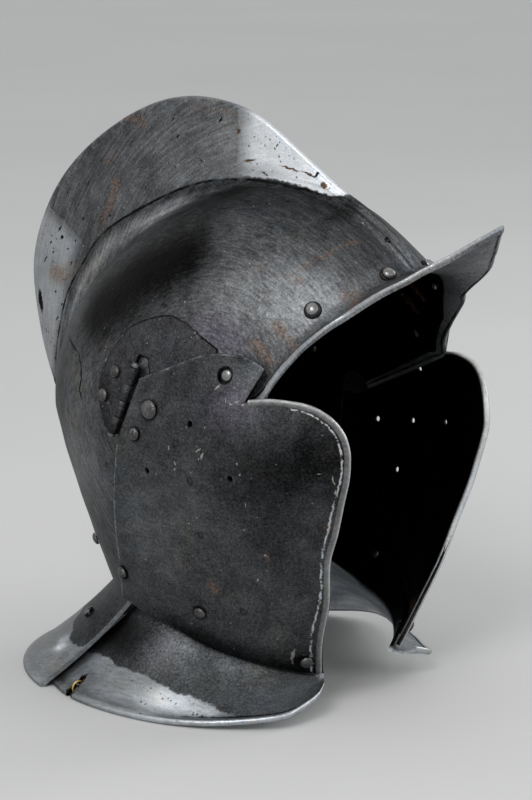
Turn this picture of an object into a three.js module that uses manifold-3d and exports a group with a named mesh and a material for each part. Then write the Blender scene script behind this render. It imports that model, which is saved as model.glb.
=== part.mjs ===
// A burgonet: an open-faced steel helmet with a tall comb, a pointed peak, hinged cheekpieces
// that carry a flared neck guard, and a fixed nape plate that closes the neck guard behind.
// Millimetres. +Z is up, the peak points along -Y and the wearer's left is +X.
// A place is given as (side, forward, up): side is + to the wearer's left, forward is -Y.
import * as THREE from 'three';
import { mergeVertices } from 'three/addons/utils/BufferGeometryUtils.js';
import Module from 'manifold-3d';

const wasm = await Module();
wasm.setup();

// Driving dimensions: plates and clearances
const plate = 2;
const leaf = 1;
const seat = 0.3;
const overrun = 12;

// Bowl: it is drawn round an axis through both ears
const earForward = -30;
const earUp = 130;
const bowlHalfWidth = 83;
const bowlBack = 109;
const bowlRoundness = 1.8;
const bowlReachShares = [[0, 1.202], [25, 1.202], [35, 1.186], [43, 1.155], [54, 1.125], [62, 1.113],
  [81, 1.062], [98, 0.995], [122, 0.954], [145, 0.9725], [158, 0.995], [170, 1.003], [180, 1]];
const earNotch = 8;

// Bowl below the ears, down to the nape
const skullBottomUp = 47;
const napeFall = 80;
const napeDraw = 34;
const napeDrawPower = 1.15;
const neckFall = 100;
const neckDraw = 20;
const neckDrawPower = 1.35;

// Comb
const combHeight = 58;
const combHeightShares = [[0, 0.03], [35, 0.06], [43, 0.1], [54, 0.115], [65, 0.13], [77, 0.3],
  [93, 0.69], [107, 0.905], [125, 1], [143, 1.005], [157, 0.88], [168.5, 0.645], [180, 0.435]];
const combFadeDrop = 50;
const combCrest = 1.6;
const combRoot = 5.2;
const combThickenHeight = 25;
const combFillet = 13;
const combFilletShares = [[0, 0.3], [43, 0.6], [62, 0.5], [81, 0.3], [98, 0.4], [122, 0.5], [145, 0.68],
  [158, 0.85], [180, 1]];
const combSlitShare = 0.7;

// Peak
const browStartAngle = 24;
const browSweepAngle = 12.4;
const browStartPhase = 33;
const browPower = 5;
const browBlendAngle = 3.6;
const peakHalfWidth = 69;
const peakCornerForward = 36;
const peakCornerUp = 159.5;
const peakTipForward = 118.7;
const peakTipUp = 236.7;
const peakForwardShares = [[0, 1], [0.145, 0.921], [0.297, 0.827], [0.42, 0.735], [0.536, 0.638],
  [0.623, 0.503], [0.688, 0.369], [0.804, 0.272], [0.87, 0.157], [0.93, 0.042], [1, 0]];
const peakUpShares = [[0, 1], [0.145, 0.925], [0.297, 0.842], [0.42, 0.769], [0.536, 0.683],
  [0.623, 0.588], [0.688, 0.486], [0.804, 0.389], [0.87, 0.266], [0.93, 0.11], [1, 0]];
// The left half of the peak is bent in a little, which draws its edge towards the middle
const peakLeftPower = 0.82;
const peakRim = 3.2;
const browLip = 2.5;

// Cheekpieces: they stand off the bowl by the thickness of a hinge leaf and its clearances
const leafSeat = 0.5;
const cheekStandoff = leaf + leafSeat * 2.4;
const cheekFront = 124;
const cheekFrontDraw = 40;
const cheekFrontFall = 96;
const cheekFrontPower = 1.3;
const cheekRoundness = 2.5;
const cheekRim = 1.7;
// Outline of a cheekpiece, and every place on it and round it, as shares of its length and height
const cheekRearForward = -56.3;
const cheekLength = 129.7;
const cheekLowUp = 18;
const cheekHeight = 157.5;
const cheekOutlineShares = {
  front: [
    [0.733, 0], [0.779, 0.114], [0.841, 0.251], [0.887, 0.394], [0.929, 0.486], [0.966, 0.584],
    [0.992, 0.66], [1, 0.711], [0.997, 0.752], [0.983, 0.794], [0.955, 0.832], [0.915, 0.861],
    [0.87, 0.878], [0.82, 0.885], [0.75, 0.888], [0.679, 0.881],
  ],
  top: [
    [0.662, 0.867], [0.719, 0.97], [0.662, 0.992], [0.594, 1], [0.526, 0.997], [0.466, 0.987],
    [0.383, 0.959], [0.263, 0.915], [0.214, 0.898],
  ],
  rear: [
    [0.127, 0.711], [0.1, 0.622], [0.069, 0.508], [0.05, 0.406], [0.036, 0.298], [0, 0.181],
  ],
  bottom: [
    [0.088, 0.167], [0.207, 0.145], [0.386, 0.098], [0.592, 0.046], [0.673, 0.02],
  ],
};

// Hinge of each cheekpiece: the pin leans forward at the top
const pinTopShares = [0.186, 0.927];
const pinBottomShares = [0.098, 0.724];
const pinRadius = 1.1;
const pinClearance = 0.35;
const pinHead = 1.9;
const pinHeadLength = 2;
const knuckleRadius = 2.4;
const knuckleLift = 2.75;
const knuckleCount = 4;
const tailLength = 4.4;
const patchOutlineShares = [
  [0.033, 0.737], [-0.012, 0.825], [-0.01, 0.902], [0.029, 0.965], [0.103, 1.035], [0.278, 1.083],
  [0.353, 1.07], [0.507, 1.007], [0.5, 0.968], [0.254, 0.884], [0.223, 0.956], [0.175, 0.961],
  [0.16, 0.923], [0.072, 0.72],
];
const cheekLeafOutlineShares = [
  [0.112, 0.701], [0.198, 0.891], [0.311, 0.855], [0.326, 0.806], [0.254, 0.705], [0.195, 0.687],
];

// Neck guard
const neckRim = 1.6;
const beadTurn = 125;
const rimFlat = 0.45;
const flangeSag = 3;
const flangeSeat = 0.75;
const flangeDrop = 1.9;
const flangeStripShares = [0.55, 0.6, 0.68, 0.8, 0.95, 1, 0.8, 0.08, 0.06, 0.06];
const flangeStrip = 21;
const flangeWaistShares = [0.729, 0.716, 0.696, 0.65, 0.573, 0.465, 0.326, 0.18, 0.079, 0.002];
const flangeTuck = 6;
const flangeTuckShares = [0, 0, 0, 0, 0, 0, 0, 0.1, 0.6, 1];
const flangeTuckUp = 42;
const rimHalfWidth = 102;
const rimFrontUp = 12;
const rightRimShares = [
  [0.328, 0.424, 1], [0.422, 0.467, 0.875], [0.529, 0.476, 0.692], [0.651, 0.451, 0.458],
  [0.765, 0.333, 0.283], [0.882, 0.147, 0.125], [0.957, -0.088, 0.033], [0.97, -0.373, 0],
  [0.92, -0.647, 0.017], [0.78, -0.925, 0.033],
];
const leftRimShares = [
  [0.343, 0.445, 1.2], [0.42, 0.45, 0.98], [0.475, 0.425, 0.83], [0.515, 0.36, 0.83],
  [0.57, 0.262, 0.95], [0.675, 0.1, 1], [0.843, -0.118, 0.83], [0.985, -0.373, 0.45],
  [0.92, -0.647, 0.18], [0.78, -0.925, 0.033],
];

// Nape plate
const napeStrip = 26;
const napeRimHalfWidth = 101;
const napeRimBack = 118;
const napeRimRoundness = 2.3;
const napeWaistFrontPhase = 24;
const napeRimFrontForward = -87;

// Rivets, holes and the locating stud, as places (forward, up) on the surface that carries them
const rivet = { head: 3.2, rise: 1.9, shank: 1.4, hole: 1.75, burr: 2.1, burrHeight: 0.8, burrSeat: 0.5 };
const bigRivet = { ...rivet, head: 4.6, rise: 1.7 };
const rivetSides = 8;
const washer = { radius: 4.2, bore: 1.8, thick: 0.8 };
const browRivetsShares = [[0.706, 0.608], [0.875, 0.737]];
const browHoleShares = [0.783, 0.866];
const browHoleRadius = 1;
const patchRivetsShares = [[0.068, 0.9], [0.018, 0.825]];
const leafRivetsShares = [[0.278, 0.816], [0.214, 0.737]];
const liningRivetShares = [0.049, 0.27];
const flangeRivetsShares = [[0.411, 0.195], [0.713, 0.05]];
const rightVentHolesShares = [[0.464, 0.794], [0.265, 0.632], [0.619, 0.646]];
const leftVentHolesShares = [[0.517, 0.802], [0.302, 0.613], [0.483, 0.63], [0.673, 0.653], [0.429, 0.467]];
const ventRadius = 1.7;
const studPlaceShares = [0.573, 0.937];
const stud = { radius: 3, neck: 2.2, hole: 4.2, proud: 1.3 };
const napeRivetUp = 66;
const napeRivetPhases = [48, 90, 132];
const napePlateRivetPhases = [44, 136];

// Ring at the back of the right flange
const ringRadius = 3.2;
const ringWire = 0.55;
const ringHole = 2.3;
const notchWidth = 4.4;
const notchDepth = 5;
const ringBridge = 1.6;
const ringHang = 1.1;
const ringStation = 8;

const degree = Math.PI / 180;

function at(side, forward, up) {
  return new THREE.Vector3(side, -forward, up);
}

// Smooth curve through [place, value] pairs
function smooth(pairs, x) {
  const n = pairs.length;
  if (x <= pairs[0][0]) return pairs[0][1];
  if (x >= pairs[n - 1][0]) return pairs[n - 1][1];
  let i = 0;
  while (x > pairs[i + 1][0]) i += 1;
  const slope = (a, b) => (pairs[b][1] - pairs[a][1]) / (pairs[b][0] - pairs[a][0]);
  const here = slope(i, i + 1);
  const before = i > 0 ? (slope(i - 1, i) + here) / 2 : here;
  const after = i < n - 2 ? (here + slope(i + 1, i + 2)) / 2 : here;
  const width = pairs[i + 1][0] - pairs[i][0];
  const t = (x - pairs[i][0]) / width;
  const rise = pairs[i + 1][1] - pairs[i][1];
  return pairs[i][1] + t * t * (3 - 2 * t) * rise
    + width * (before * t * (1 - t) * (1 - t) - after * t * t * (1 - t));
}

// Straight lines through [place, value] pairs
function straight(pairs, x) {
  let i = 0;
  while (i < pairs.length - 2 && x > pairs[i + 1][0]) i += 1;
  const share = (x - pairs[i][0]) / (pairs[i + 1][0] - pairs[i][0]);
  return lerp(pairs[i][1], pairs[i + 1][1], share);
}

function lerp(a, b, t) {
  return a + (b - a) * t;
}

function lerpPoint(a, b, t) {
  return a.clone().lerp(b, t);
}

// Place (forward, up) from shares of a cheekpiece's length and height
function cheekPoint([forward, up]) {
  return [cheekRearForward + forward * cheekLength, cheekLowUp + up * cheekHeight];
}

// Place (forward, up) from shares of the bowl's reach behind the ear
function bowlPoint([forward, up]) {
  return [earForward + forward * bowlBack, earUp + up * bowlBack];
}

// Place on a neck rim from shares of its half width and of its rise at the front
function rimPoint([side, forward, up]) {
  return [side * rimHalfWidth, forward * rimHalfWidth, up * rimFrontUp];
}

const cheekOutline = {
  front: cheekOutlineShares.front.map(cheekPoint),
  top: cheekOutlineShares.top.map(cheekPoint),
  rear: cheekOutlineShares.rear.map(cheekPoint),
  bottom: cheekOutlineShares.bottom.map(cheekPoint),
};
const patchOutline = patchOutlineShares.map(cheekPoint);
const cheekLeafOutline = cheekLeafOutlineShares.map(cheekPoint);
const pinTop = cheekPoint(pinTopShares);
const pinBottom = cheekPoint(pinBottomShares);
const patchRivets = patchRivetsShares.map(cheekPoint);
const leafRivets = leafRivetsShares.map(cheekPoint);
const flangeRivets = flangeRivetsShares.map(cheekPoint);
const liningRivet = cheekPoint(liningRivetShares);
const rightVentHoles = rightVentHolesShares.map(cheekPoint);
const leftVentHoles = leftVentHolesShares.map(cheekPoint);
const studPlace = cheekPoint(studPlaceShares);
const browRivets = browRivetsShares.map(bowlPoint);
const browHole = bowlPoint(browHoleShares);
const flangeWaist = flangeWaistShares.map((share) => cheekPoint([share, 0])[0]);
const rightRim = rightRimShares.map(rimPoint);
const leftRim = leftRimShares.map(rimPoint);

// Sizes of the bowl

function bowlReach(angle) {
  return bowlBack * smooth(bowlReachShares, angle);
}

function neckHalfWidth(up) {
  return bowlHalfWidth - neckDraw * (Math.max(0, earUp - up) / neckFall) ** neckDrawPower;
}

function neckBack(up) {
  return bowlBack - napeDraw * (Math.max(0, earUp - up) / napeFall) ** napeDrawPower;
}

// Half width of the bowl's outside at a place seen from the side
function bowlSide(forward, up) {
  if (up >= earUp) {
    const reach = Math.hypot(forward - earForward, up - earUp);
    const angle = Math.atan2(up - earUp, forward - earForward) / degree;
    const left = 1 - (reach / bowlReach(angle)) ** bowlRoundness;
    return bowlHalfWidth * Math.sqrt(Math.max(0, left));
  }
  const left = 1 - (Math.abs(forward - earForward) / neckBack(up)) ** bowlRoundness;
  return neckHalfWidth(up) * Math.sqrt(Math.max(0, left));
}

function cheekFrontReach(up) {
  return cheekFront - cheekFrontDraw * (Math.max(0, earUp - up) / cheekFrontFall) ** cheekFrontPower;
}

// Half width of a cheekpiece's inside at a place seen from the side
function cheekSide(forward, up) {
  if (forward <= earForward) return bowlSide(forward, up) + cheekStandoff;
  const left = 1 - ((forward - earForward) / cheekFrontReach(up)) ** cheekRoundness;
  return (bowlSide(earForward, up) + cheekStandoff) * Math.sqrt(Math.max(0, left));
}

// Place on a side surface and its outward normal, for the right (-1) or left (+1) side
function surfacePlace(surface, side, forward, up) {
  const step = plate / 8;
  const here = at(side * surface(forward, up), forward, up);
  const ahead = at(side * surface(forward + step, up), forward + step, up);
  const above = at(side * surface(forward, up + step), forward, up + step);
  const normal = ahead.sub(here).cross(above.sub(here)).normalize();
  if (normal.x * side < 0) normal.negate();
  return { point: here, normal };
}

function offsetPlace(surface, side, forward, up, distance) {
  const { point, normal } = surfacePlace(surface, side, forward, up);
  return point.addScaledVector(normal, distance);
}

// Meshes and solids

function geometryFrom(points, faces) {
  const geometry = new THREE.BufferGeometry();
  const flat = points.flatMap((p) => [p.x, p.y, p.z]);
  geometry.setAttribute('position', new THREE.Float32BufferAttribute(flat, 3));
  geometry.setIndex(faces.flat());
  return geometry;
}

function signedVolume(geometry) {
  const place = geometry.attributes.position;
  const index = geometry.index;
  const [a, b, c] = [new THREE.Vector3(), new THREE.Vector3(), new THREE.Vector3()];
  let sum = 0;
  for (let i = 0; i < index.count; i += 3) {
    a.fromBufferAttribute(place, index.getX(i));
    b.fromBufferAttribute(place, index.getX(i + 1));
    c.fromBufferAttribute(place, index.getX(i + 2));
    sum += a.dot(b.cross(c));
  }
  return sum;
}

// Joins equal corners, drops slivers of no area and turns the faces out
function closed(geometry) {
  const bare = geometry.index ? geometry : geometry.clone();
  bare.deleteAttribute('normal');
  bare.deleteAttribute('uv');
  const merged = mergeVertices(bare, seat / 1000);
  const index = merged.index;
  const kept = [];
  for (let i = 0; i < index.count; i += 3) {
    const face = [index.getX(i), index.getX(i + 1), index.getX(i + 2)];
    if (face[0] !== face[1] && face[1] !== face[2] && face[2] !== face[0]) kept.push(...face);
  }
  merged.setIndex(kept);
  if (signedVolume(merged) < 0) {
    for (let i = 0; i < kept.length; i += 3) [kept[i], kept[i + 1]] = [kept[i + 1], kept[i]];
    merged.setIndex(kept);
  }
  return merged;
}

function solid(geometry) {
  const whole = closed(geometry);
  return new wasm.Manifold(new wasm.Mesh({
    numProp: 3,
    vertProperties: new Float32Array(whole.attributes.position.array),
    triVerts: new Uint32Array(whole.index.array),
  }));
}

function geometryOf(manifold) {
  const mesh = manifold.getMesh();
  const geometry = new THREE.BufferGeometry();
  geometry.setAttribute('position', new THREE.BufferAttribute(mesh.vertProperties, 3));
  geometry.setIndex(new THREE.BufferAttribute(mesh.triVerts, 1));
  return geometry;
}

function cut(body, tools) {
  return tools.reduce((left, tool) => left.subtract(tool), body);
}

function join(bodies) {
  return bodies.reduce((left, body) => left.add(body));
}

// Skin between two equal grids of points, closed along all four sides
function shellGeometry(outer, inner) {
  const rows = outer.length;
  const columns = outer[0].length;
  const points = [...outer.flat(), ...inner.flat()];
  const o = (r, c) => r * columns + c;
  const i = (r, c) => rows * columns + r * columns + c;
  const faces = [];
  const quad = (a, b, c, d) => faces.push([a, b, c], [a, c, d]);
  for (let r = 0; r < rows - 1; r += 1) {
    for (let c = 0; c < columns - 1; c += 1) {
      quad(o(r, c), o(r, c + 1), o(r + 1, c + 1), o(r + 1, c));
      quad(i(r, c), i(r + 1, c), i(r + 1, c + 1), i(r, c + 1));
    }
  }
  for (let c = 0; c < columns - 1; c += 1) {
    quad(o(0, c + 1), o(0, c), i(0, c), i(0, c + 1));
    quad(o(rows - 1, c), o(rows - 1, c + 1), i(rows - 1, c + 1), i(rows - 1, c));
  }
  for (let r = 0; r < rows - 1; r += 1) {
    quad(o(r, 0), o(r + 1, 0), i(r + 1, 0), i(r, 0));
    quad(o(r + 1, columns - 1), o(r, columns - 1), i(r, columns - 1), i(r + 1, columns - 1));
  }
  return geometryFrom(points, faces);
}

// Round bar between two places
function bar(from, to, radius, sides) {
  const length = from.distanceTo(to);
  const geometry = new THREE.CylinderGeometry(radius, radius, length, sides);
  const turn = new THREE.Quaternion().setFromUnitVectors(
    new THREE.Vector3(0, 1, 0), to.clone().sub(from).normalize());
  geometry.applyQuaternion(turn);
  geometry.translate(...from.clone().lerp(to, 0.5).toArray());
  return solid(geometry);
}

// Prism with a side-view outline that runs through one side of the helmet
function sidePrism(outline, side) {
  const shape = new THREE.Shape(outline.map(([forward, up]) => new THREE.Vector2(-forward, up)));
  const depth = bowlHalfWidth * 2;
  const geometry = new THREE.ExtrudeGeometry(shape, { depth, bevelEnabled: false, curveSegments: 1 });
  // Extrusion runs along +Z with the outline in XY: turned so that it runs along +X
  const turned = new THREE.Matrix4().makeBasis(
    new THREE.Vector3(0, 1, 0), new THREE.Vector3(0, 0, 1), new THREE.Vector3(1, 0, 0));
  geometry.applyMatrix4(turned);
  if (side < 0) geometry.translate(-depth, 0, 0);
  return solid(geometry);
}

// Plate that follows a side surface inside an outline
function sidePlate(surface, side, outline, lift, thick, rows, columns) {
  const ups = outline.map(([, up]) => up);
  const low = Math.min(...ups) - thick / 2;
  const high = Math.max(...ups) + thick / 2;
  const step = (high - low) / rows;
  const dense = outline.flatMap((p, k) => {
    const next = outline[(k + 1) % outline.length];
    return [0, 0.25, 0.5, 0.75].map((t) => [lerp(p[0], next[0], t), lerp(p[1], next[1], t)]);
  });
  const outer = [];
  const inner = [];
  for (let r = 0; r <= rows; r += 1) {
    const up = lerp(low, high, r / rows);
    const near = dense.filter((p) => Math.abs(p[1] - up) <= step + thick).map(([f]) => f);
    const back = Math.min(...near) - thick;
    const reach = Math.max(...near) + thick;
    const places = Array.from({ length: columns + 1 }, (_, c) => (
      lerp(back, reach, 1 - (1 - c / columns) ** 1.3)));
    outer.push(places.map((forward) => offsetPlace(surface, side, forward, up, lift + thick)));
    inner.push(places.map((forward) => offsetPlace(surface, side, forward, up, lift)));
  }
  return solid(shellGeometry(outer, inner)).intersect(sidePrism(outline, side));
}

// Skull: bowl, comb and peak in one plate

function skullRow(angle, up) {
  if (up < earUp) {
    const fade = Math.max(0, 1 - (earUp - up) / combFadeDrop);
    return {
      origin: [earForward, up],
      reach: () => neckBack(up),
      halfWidth: neckHalfWidth(up),
      comb: combHeight * smooth(combHeightShares, 180) * fade * fade * (3 - 2 * fade),
      fillet: combFillet * fade,
      angle: () => 180,
    };
  }
  return {
    origin: [earForward, earUp],
    reach: (phase) => bowlReach(angle(phase)),
    halfWidth: bowlHalfWidth,
    comb: combHeight * smooth(combHeightShares, angle(90)),
    fillet: combFillet * smooth(combFilletShares, angle(90)),
    angle,
  };
}

// One half of a row, from the ear to the middle, as places
function halfRow(row, side, inset) {
  const inside = inset > 0;
  const slit = Math.max(0, row.comb * combSlitShare - plate * 2);
  const height = inside ? slit : row.comb;
  const body = Math.min(1, row.comb / combThickenHeight);
  const crest = inside ? combCrest / 3 : combCrest;
  const root = combCrest * 1.4 + (combRoot - combCrest * 1.4) * body - (inside ? combCrest : 0);
  const fillet = Math.min(row.fillet, height * 0.6);
  const filletSide = root + combCrest + 1.4 * row.fillet * Math.min(1, body * 1.6);
  const halfWidth = row.halfWidth - inset;
  const endPhase = Math.acos(filletSide / halfWidth) / degree;
  const place = (across, reach, phase) => {
    const angle = row.angle(phase) * degree;
    return at(side * across, row.origin[0] + reach * Math.cos(angle),
      row.origin[1] + reach * Math.sin(angle));
  };
  const onBowl = (phase) => (row.reach(phase) - inset)
    * Math.sin(phase * degree) ** (2 / bowlRoundness);
  const earShare = earNotch / (row.reach(0) - inset);
  const startPhase = Math.asin(earShare ** (bowlRoundness / 2)) / degree;
  const points = [];
  const bowlSteps = 9;
  for (let k = 0; k <= bowlSteps; k += 1) {
    const phase = lerp(startPhase, endPhase, (k / bowlSteps) ** 0.92);
    points.push(place(halfWidth * Math.cos(phase * degree), onBowl(phase), phase));
  }
  const middle = row.reach(90) - inset;
  const start = onBowl(endPhase);
  const filletSteps = 3;
  for (let k = 1; k <= filletSteps; k += 1) {
    const t = k / filletSteps;
    const across = (1 - t) * (1 - t) * filletSide + (2 * t * (1 - t) + t * t) * root;
    const reach = (1 - t) * (1 - t) * start + 2 * t * (1 - t) * middle + t * t * (middle + fillet);
    points.push(place(across, reach, lerp(endPhase, 90, t)));
  }
  const finTop = middle + height - Math.min(crest, (height - fillet) / 2);
  const finSteps = 2;
  for (let k = 1; k <= finSteps; k += 1) {
    const t = k / finSteps;
    points.push(place(lerp(root, crest, t), lerp(middle + fillet, finTop, t), 90));
  }
  points.push(place(crest / 2, lerp(finTop, middle + height, 0.8), 90));
  return { points, top: place(0, middle + height, 90) };
}

function fullRow(row, inset) {
  const right = halfRow(row, -1, inset);
  const left = halfRow(row, 1, inset);
  return [...right.points, right.top, ...left.points.reverse()];
}

function browAngle(phase) {
  const along = Math.max(0, Math.min(1, (phase - browStartPhase) / (90 - browStartPhase)));
  return browStartAngle + browSweepAngle * (1 - (1 - along) ** browPower);
}

// Rows of the bowl from just above the brow, back over the crown and down to the nape
function bowlRows() {
  const crownSteps = 13;
  const napeSteps = 5;
  const rows = [];
  for (let k = 0; k <= crownSteps; k += 1) {
    const share = (k / crownSteps) ** 0.95;
    const first = (phase) => browAngle(phase) + browBlendAngle;
    rows.push(skullRow((phase) => lerp(first(phase), 180, share), earUp));
  }
  for (let k = 1; k <= napeSteps; k += 1) {
    rows.push(skullRow(null, lerp(earUp, skullBottomUp, k / napeSteps)));
  }
  return rows;
}

// Edge of the peak straight ahead of a place on the brow
function peakEdge(brow, above, inset) {
  const across = Math.abs(brow.x);
  const even = across / peakHalfWidth;
  const share = brow.x > 0 ? even ** peakLeftPower : even;
  const rim = inset > 0 ? peakRim : 0;
  if (share >= 1) {
    const along = brow.clone().sub(above).normalize();
    return brow.clone().addScaledVector(along, browLip);
  }
  const forward = lerp(peakCornerForward, peakTipForward, smooth(peakForwardShares, share));
  const up = lerp(peakCornerUp, peakTipUp, smooth(peakUpShares, share));
  const edge = at(brow.x, forward, up - rim);
  const lip = brow.clone().add(at(0, browLip, inset > 0 ? -rim / 4 : browLip / 2));
  return edge.y < lip.y ? edge : lip;
}

function peakRows(inset) {
  const brow = fullRow(skullRow(browAngle, earUp), inset);
  const above = fullRow(skullRow((phase) => browAngle(phase) + browBlendAngle, earUp), inset);
  const steps = 5;
  const rows = [];
  for (let k = 0; k < steps; k += 1) {
    const t = 1 - k / steps;
    rows.push(brow.map((corner, c) => {
      const edge = peakEdge(corner, above[c], inset);
      const first = lerpPoint(above[c], corner, t);
      return first.lerp(lerpPoint(corner, edge, t), t);
    }));
  }
  return rows;
}

function skullSolid() {
  const grid = (inset) => [...peakRows(inset), ...bowlRows().map((row) => fullRow(row, inset))];
  return solid(shellGeometry(grid(0), grid(plate)));
}

// Rivets: each is a domed head outside, a shank and, where it can be seen, a burr inside
function turned(profile, sides, place, normal) {
  const geometry = new THREE.LatheGeometry(profile.map(([r, h]) => new THREE.Vector2(r, h)), sides);
  geometry.applyQuaternion(new THREE.Quaternion().setFromUnitVectors(
    new THREE.Vector3(0, 1, 0), normal));
  geometry.translate(...place.toArray());
  return solid(geometry);
}

// Height 0 is the seat of the head. depth is how far the shank runs to the inside face.
function rivetSolid(kind, place, normal, depth, sides, burr = true) {
  const base = seat;
  const top = base + kind.rise;
  const head = [[0, top], [kind.head * 0.72, top - kind.rise * 0.34], [kind.head, base]];
  const inner = -depth;
  const tail = burr
    ? [[kind.shank, inner - kind.burrSeat], [kind.burr, inner - kind.burrSeat],
      [0, inner - kind.burrSeat - kind.burrHeight]]
    : [[kind.shank, inner], [0, inner]];
  return turned([...head, [kind.shank, base], ...tail].reverse(), sides, place, normal);
}

function hole(place, normal, radius) {
  const reach = normal.clone().multiplyScalar(overrun);
  return bar(place.clone().sub(reach), place.clone().add(reach), radius, rivetSides);
}

function placesOn(surface, side, places) {
  return places.map(([forward, up]) => surfacePlace(surface, side, forward, up));
}

// Phase 0 is the right ear, 90 the middle of the back, 180 the left ear
function napePlace(phase, up, inset) {
  const side = -Math.cos(phase * degree) * (neckHalfWidth(up) - inset);
  const back = Math.sin(phase * degree) ** (2 / bowlRoundness) * (neckBack(up) - inset);
  return at(side, earForward - back, up);
}

function napeNormal(phase, up) {
  const step = 1;
  const here = napePlace(phase, up, 0);
  const round = napePlace(phase + step, up, 0).sub(here);
  const above = napePlace(phase, up + plate / 8, 0).sub(here);
  const normal = round.cross(above).normalize();
  return normal.dot(at(0, -1, 0)) < 0 ? normal.negate() : normal;
}

function napeRivetPlaces() {
  return napeRivetPhases.map((phase) => (
    { point: napePlace(phase, napeRivetUp, 0), normal: napeNormal(phase, napeRivetUp) }));
}

// Cheekpiece plate

function cheekLoop() {
  const { front, top, rear, bottom } = cheekOutline;
  return [...front, ...top, ...rear, ...bottom];
}

// Turned edge down the front of the cheekpiece
function cheekEdge(side) {
  const points = cheekOutline.front.map(([forward, up]) => (
    offsetPlace(cheekSide, side, forward - cheekRim, up, plate / 2)));
  const path = new THREE.CatmullRomCurve3(points, false, 'centripetal');
  const section = new THREE.Shape();
  section.absarc(0, 0, cheekRim, 0, Math.PI * 2, false);
  return solid(new THREE.ExtrudeGeometry(section,
    { steps: 18, curveSegments: 3, bevelEnabled: false, extrudePath: path }));
}

function cheekSolid(side) {
  const body = sidePlate(cheekSide, side, cheekLoop(), 0, plate, 14, 12);
  const rivets = [...placesOn(cheekSide, side, leafRivets),
    ...placesOn(cheekSide, side, [liningRivet]), ...placesOn(cheekSide, side, flangeRivets)];
  const vents = placesOn(cheekSide, side, side < 0 ? rightVentHoles : leftVentHoles);
  const tools = [
    ...rivets.map(({ point, normal }) => hole(point, normal, rivet.hole)),
    ...vents.map(({ point, normal }) => hole(point, normal, ventRadius)),
    ...placesOn(bowlSide, side, [studPlace]).map(({ point, normal }) => hole(point, normal, stud.hole)),
  ];
  return cut(body.add(cheekEdge(side)), tools);
}

// Hinge

// The pin is straight and the bowl round, so its ends stand further off the bowl than its middle
function pinLine(side) {
  const top = surfacePlace(bowlSide, side, ...pinTop).point;
  const bottom = surfacePlace(bowlSide, side, ...pinBottom).point;
  const axis = top.clone().sub(bottom).normalize();
  const middle = surfacePlace(bowlSide, side, (pinTop[0] + pinBottom[0]) / 2,
    (pinTop[1] + pinBottom[1]) / 2);
  const out = middle.normal.addScaledVector(axis, -middle.normal.dot(axis)).normalize();
  const lift = knuckleLift + middle.point.clone().sub(bottom).dot(out);
  top.addScaledVector(out, lift);
  bottom.addScaledVector(out, lift);
  const rearward = new THREE.Vector3().crossVectors(axis, out).normalize();
  if (rearward.y < 0) rearward.negate();
  return { top, bottom, axis, out, rearward };
}

// Knuckle: a rolled eye whose tail drops to its leaf, behind (+1) or in front (-1) of the pin
function knuckle(line, side, index, towards) {
  const length = line.top.distanceTo(line.bottom);
  const step = length / knuckleCount;
  const centre = lerpPoint(line.bottom, line.top, (index + 0.5) / knuckleCount);
  const foot = surfacePlace(bowlSide, side, -centre.y, centre.z);
  const out = foot.normal.clone().addScaledVector(line.axis, -foot.normal.dot(line.axis)).normalize();
  const rearward = line.axis.clone().cross(out);
  if (rearward.y < 0) rearward.negate();
  const stand = centre.clone().sub(foot.point).dot(out);
  const drop = Math.max(knuckleRadius + seat / 10, stand - leafSeat);
  const eye = Array.from({ length: 10 }, (_, k) => [
    knuckleRadius * Math.cos((k * Math.PI) / 6), knuckleRadius * Math.sin((k * Math.PI) / 6)]);
  const profile = [...eye, [0, -drop], [tailLength, -drop], [tailLength, leaf - drop],
    [knuckleRadius, leaf - drop]];
  const shape = new THREE.Shape(profile.map(([x, y]) => new THREE.Vector2(x * towards, y)));
  const bore = new THREE.Path();
  bore.absarc(0, 0, pinRadius + pinClearance, 0, Math.PI * 2, false);
  shape.holes.push(bore);
  const depth = step - seat;
  const geometry = new THREE.ExtrudeGeometry(shape, { depth, bevelEnabled: false, curveSegments: 5 });
  geometry.translate(0, 0, -depth / 2);
  const basis = new THREE.Matrix4().makeBasis(rearward, out, rearward.clone().cross(out));
  return solid(geometry.applyMatrix4(basis.setPosition(centre)));
}

function leafHoles(surface, side, places) {
  return placesOn(surface, side, places).map(({ point, normal }) => hole(point, normal, rivet.hole));
}

function skullLeafSolid(side) {
  const line = pinLine(side);
  const body = sidePlate(bowlSide, side, patchOutline, leafSeat, leaf, 6, 6);
  const eyes = [1, 3].map((index) => knuckle(line, side, index, 1));
  return cut(join([body, ...eyes]), leafHoles(bowlSide, side, patchRivets));
}

function cheekLeafSolid(side) {
  const line = pinLine(side);
  const body = sidePlate(bowlSide, side, cheekLeafOutline, leafSeat, leaf, 3, 3);
  const reach = line.rearward.clone().multiplyScalar(-knuckleRadius * 0.2);
  const clear = bar(lerpPoint(line.bottom, line.top, -1).add(reach),
    lerpPoint(line.bottom, line.top, 2).add(reach), knuckleRadius + seat * 2, 12);
  const eyes = [0, 2].map((index) => knuckle(line, side, index, -1));
  return cut(join([body.subtract(clear), ...eyes]), leafHoles(cheekSide, side, leafRivets));
}

function pinSolid(side) {
  const line = pinLine(side);
  const length = line.top.distanceTo(line.bottom);
  const profile = [[0, -seat - pinHeadLength], [pinHead * 0.8, -seat - pinHeadLength],
    [pinHead, -seat - pinHeadLength / 2], [pinHead, -seat], [pinRadius, -seat],
    [pinRadius, length + seat], [pinHead, length + seat], [pinHead, length + seat + pinHeadLength / 2],
    [pinHead * 0.8, length + seat + pinHeadLength], [0, length + seat + pinHeadLength]];
  return turned(profile, 10, line.bottom, line.axis);
}

// Neck guard: a strip inside the plate above it, a bend at the waist and a flare to the rim

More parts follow.
